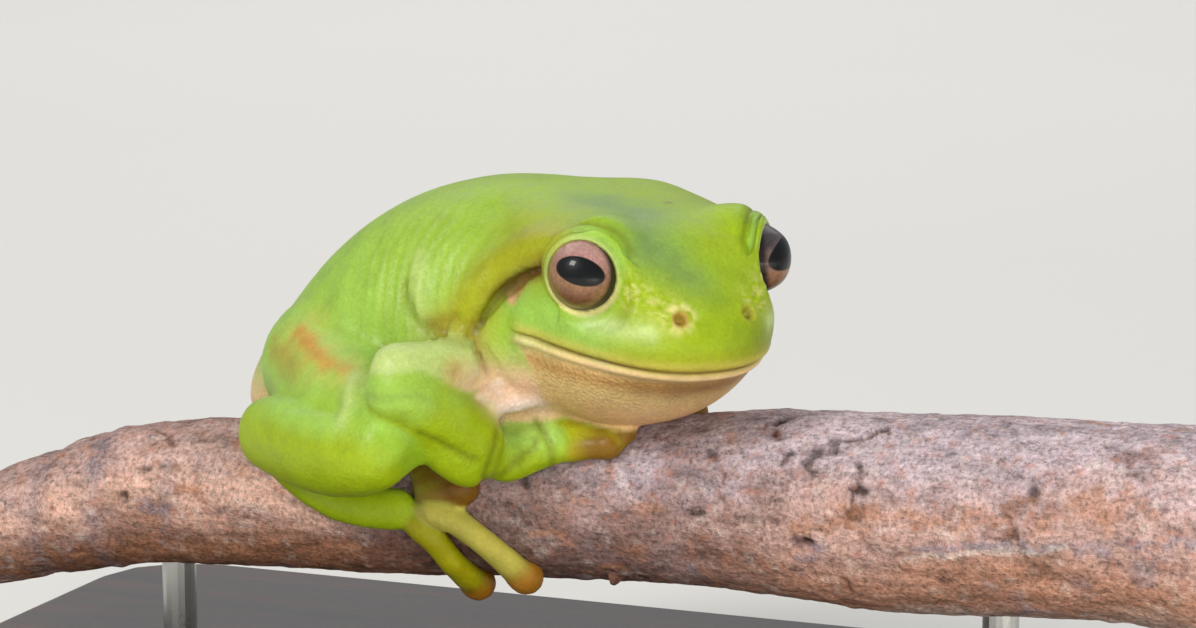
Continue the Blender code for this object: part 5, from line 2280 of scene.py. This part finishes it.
            away = np.linalg.norm((flat - centre) * (1.0, 0.85) + 0.3 * wander, axis=1)
            height += rise * hill(away, 0.0, 0.75 * size) - 0.3 * hill(away, size, 0.35)
            share = (0.6 * fall(away, 0.5 * size, size) + 0.6 * hill(away, size, 0.3))[:, None]
            tint += np.clip(share, 0.0, 1.0) * (BarkHue.UMBER.light() - tint)
        for place, width, rise in self.rings:
            mask = hill(x + 0.6 * wander[:, 0], place, width)
            height += rise * mask
            tint += (0.35 * mask)[:, None] * (BarkHue.SLATE.light() - tint)
        return height, tint

    def ground(self, x: Array, turn: Array, base: Array) -> Array:
        """The bark's colour without its marks: ash above, rose and russet below.

        Args:
            x: distances along the branch.
            turn: angles from the top, in radians.
            base: the points before any relief.

        Returns:
            The linear colours.
        """
        rise = np.cos(turn) + 0.3 * relief(base * (0.35, 1.0, 1.0), 6.0, 91)
        colours = np.tile(BarkHue.ASH.light(), (len(x), 1))
        left = fall(x, -30.0, -4.0)
        under_frog = fall(x, 14.0, 32.0)
        for mask, hue in (
                (0.75 * left, BarkHue.ROSE),
                (0.3 * left * ramp(rise, 0.5, 0.9), BarkHue.UMBER),
                (0.85 * left * hill(rise, 0.1, 0.5), BarkHue.BLUSH),
                (ramp(-rise, -0.75, -0.1) * (1.0 - left), BarkHue.ROSE),
                (0.7 * ramp(-rise, -0.1, 0.5) * ramp(x, 4.0, 30.0), BarkHue.RUSSET),
                (ramp(-rise, -0.25, 0.7) * fall(x, 4.0, 30.0), BarkHue.UMBER),
                (0.35 * left * ramp(-rise, 0.0, 0.6), BarkHue.RUSSET),
                (0.3 * under_frog * (1.0 - left), BarkHue.SLATE),
                (0.4 * under_frog * (1.0 - left) * ramp(relief(base, 5.0, 92), -0.6, 0.6),
                 BarkHue.UMBER),
                (0.5 * ramp(relief(base, 2.6, 93), 0.35, 1.0) * under_frog, BarkHue.RUSSET),
                (0.45 * ramp(relief(base, 3.4, 95), 0.4, 1.1), BarkHue.SLATE),
                (0.35 * ramp(relief(base, 1.1, 97), 0.3, 1.0), BarkHue.CHALK),
                (0.4 * ramp(relief(base, 0.9, 99), 0.2, 0.9), BarkHue.UMBER),
                (0.5 * ramp(-rise, 0.6, 0.9) * ramp(x, 22.0, 34.0), BarkHue.CHALK)):
            colours += mask[:, None] * (hue.light() - colours)
        return colours

    def dress(self, piece: Piece, tint: Array, full: tuple, rows: tuple, reach: Array) -> None:
        """Store the tints, where sawn wood shows, and the distance from the pith.

        Args:
            piece: the perch.
            tint: the bark's colours.
            full: the shape of the grid with its ends.
            rows: the shape of the bark alone.
            reach: the bark's distance from the pith.
        """
        count, columns = full[:2]
        colours = np.zeros((count, columns, 3))
        wood = np.ones((count, columns))
        depth = np.zeros((count, columns))
        start = self.cap_rows
        stop = start + rows[0]
        colours[start:stop] = tint.reshape(rows[0], columns, 3)
        colours[:start] = colours[start]
        colours[stop:] = colours[stop - 1]
        wood[start:stop] = 0.0
        wood[start - 1] = 0.0
        wood[stop] = 0.0
        shares = self.cap_shares()
        depth[start:stop] = reach
        depth[:start] = (shares * reach[0])[::-1]
        depth[stop:] = shares * reach[-1]
        set_colours(piece, "tint", np.vstack([colours[0, :1], colours.reshape(-1, 3),
                                              colours[-1, :1]]))
        set_numbers(piece, "wood", np.concatenate([[1.0], wood.ravel(), [1.0]]))
        set_numbers(piece, "depth", np.concatenate([[0.0], depth.ravel(), [0.0]]))


@dataclass(frozen=True)
class Stand:
    """The base and the two rods, whose own solids stay and are given finishes."""

    def dress(self) -> None:
        """Put the stained wood on the base and the steel on the rods."""
        wood = StainedWood().material()
        steel = BrushedSteel().material()
        for name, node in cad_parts.items():
            if name.startswith("stand_"):
                node.data.materials.clear()
                node.data.materials.append(steel if "rod" in name else wood)


# ---------------------------------------------------------------- studio


@dataclass
class Studio:
    """A pale floor, soft lights and the camera."""

    azimuth: float = 22.0
    elevation: float = 10.0
    aim: Place = (3.0, 0.0, 53.0)
    distance: float = 450.0
    lens: float = 121.9
    floor_size: float = 3.0

    def build(self) -> None:
        """Set up everything that isn't part of the object."""
        self.add_camera()
        self.add_floor()
        self.add_lights()

    def add_camera(self) -> None:
        """A camera on a sphere round its aim."""
        turn = math.radians(self.azimuth)
        rise = math.radians(self.elevation)
        back = Vector((math.sin(turn) * math.cos(rise), -math.cos(turn) * math.cos(rise),
                       math.sin(rise)))
        data = bpy.data.cameras.new("camera")
        data.lens = self.lens
        data.sensor_width = 36.0
        data.clip_start = 0.01
        data.clip_end = 20.0
        camera = bpy.data.objects.new("camera", data)
        bpy.context.scene.collection.objects.link(camera)
        camera.location = (Vector(self.aim) + self.distance * back) * MM
        camera.rotation_euler = back.to_track_quat("Z", "Y").to_euler()
        bpy.context.scene.camera = camera

    def add_floor(self) -> None:
        """A broad pale sheet under the stand."""
        half = 0.5 * self.floor_size
        data = bpy.data.meshes.new("floor")
        corners = [(-half, -half, 0.0), (half, -half, 0.0), (half, half, 0.0), (-half, half, 0.0)]
        data.from_pydata(corners, [], [(0, 1, 2, 3)])
        floor = bpy.data.objects.new("floor", data)
        bpy.context.scene.collection.objects.link(floor)
        sketch = Sketch("pale_floor")
        cloud = sketch.noise(sketch.place(), 3.0, 3.0)
        tone = sketch.mix(cloud, linear(226, 224, 219), linear(232, 230, 226))
        floor.data.materials.append(sketch.finish(Base_Color=tone, Roughness=0.7))

    def add_lights(self) -> None:
        """A key from the upper left, a low fill, and two that light the floor for its bounce."""
        for name, place, size, power, colour in (
                ("key", (-200.0, -440.0, 400.0), 170.0, 1.95, (1.0, 0.98, 0.94)),
                ("fill", (330.0, -470.0, 170.0), 300.0, 1.2, (1.0, 0.99, 0.97)),
                ("bounce", (290.0, -230.0, 115.0), 200.0, 1.3, (1.0, 0.97, 0.93)),
                ("wash", (-330.0, 830.0, 800.0), 1300.0, 7.0, (1.0, 0.99, 0.97))):
            light = self.area_light(name, place, size, power, colour)
            light.visible_glossy = name not in ("fill", "bounce")
        world = bpy.data.worlds.new("studio")
        world.use_nodes = True
        sky = world.node_tree.nodes["Background"].inputs
        sky["Color"].default_value = (0.95, 0.97, 1.0, 1.0)
        sky["Strength"].default_value = 0.4
        bpy.context.scene.world = world
        bpy.context.scene.view_settings.view_transform = "Standard"

    def area_light(self, name: str, place: tuple, size: float, power: float,
                   colour: tuple) -> Piece:
        """A square light that faces the camera's aim, or the floor for bounce and wash.

        Args:
            name: the light's name.
            place: where it stands, in millimetres.
            size: its side, in millimetres.
            power: its power in watts.
            colour: its colour.

        Returns:
            The light.
        """
        data = bpy.data.lights.new(name, "AREA")
        data.size = size * MM
        data.energy = power
        data.color = colour
        light = bpy.data.objects.new(name, data)
        bpy.context.scene.collection.objects.link(light)
        light.location = Vector(place) * MM
        downward = name in ("wash", "bounce")
        toward = Vector((place[0], place[1], 0.0)) if downward else Vector(self.aim)
        light.rotation_euler = (Vector(place) - toward).to_track_quat("Z", "Y").to_euler()
        return light


def main() -> None:
    """Build the studio and each piece in order, and report it."""
    logging.basicConfig(level=logging.INFO, format="%(name)s: %(message)s")
    Studio().build()
    head = HeadFrame()
    LOG.info("head frame at %s mm", np.round(head.origin, 2))
    frog = FrogSkin(head)
    skin = frog.build()
    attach(skin, "root")
    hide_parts(*frog.flesh())
    skin.data.materials.append(SkinFinish().material())
    # The left eye's upper iris is painted dark grey: painted shade from the lid and a painted dark
    # reflection.
    wet = {Side.RIGHT: EyeFinish(), Side.LEFT: EyeFinish((70, 64, 68), (130, 100, 94), 0.84, 0.42)}
    for side in Side:
        eye = FrogEye(head, side).build()
        eye.data.materials.append(wet[side].material())
        LOG.info("%s at %s mm", eye.name, np.round(node_middle("eye_" + side.word), 2))
    perch = Perch().build()
    perch.data.materials.append(BarkFinish().material())
    LOG.info("perch: %d triangles", len(perch.data.polygons))
    Stand().dress()


if __name__ == "__main__":
    main()
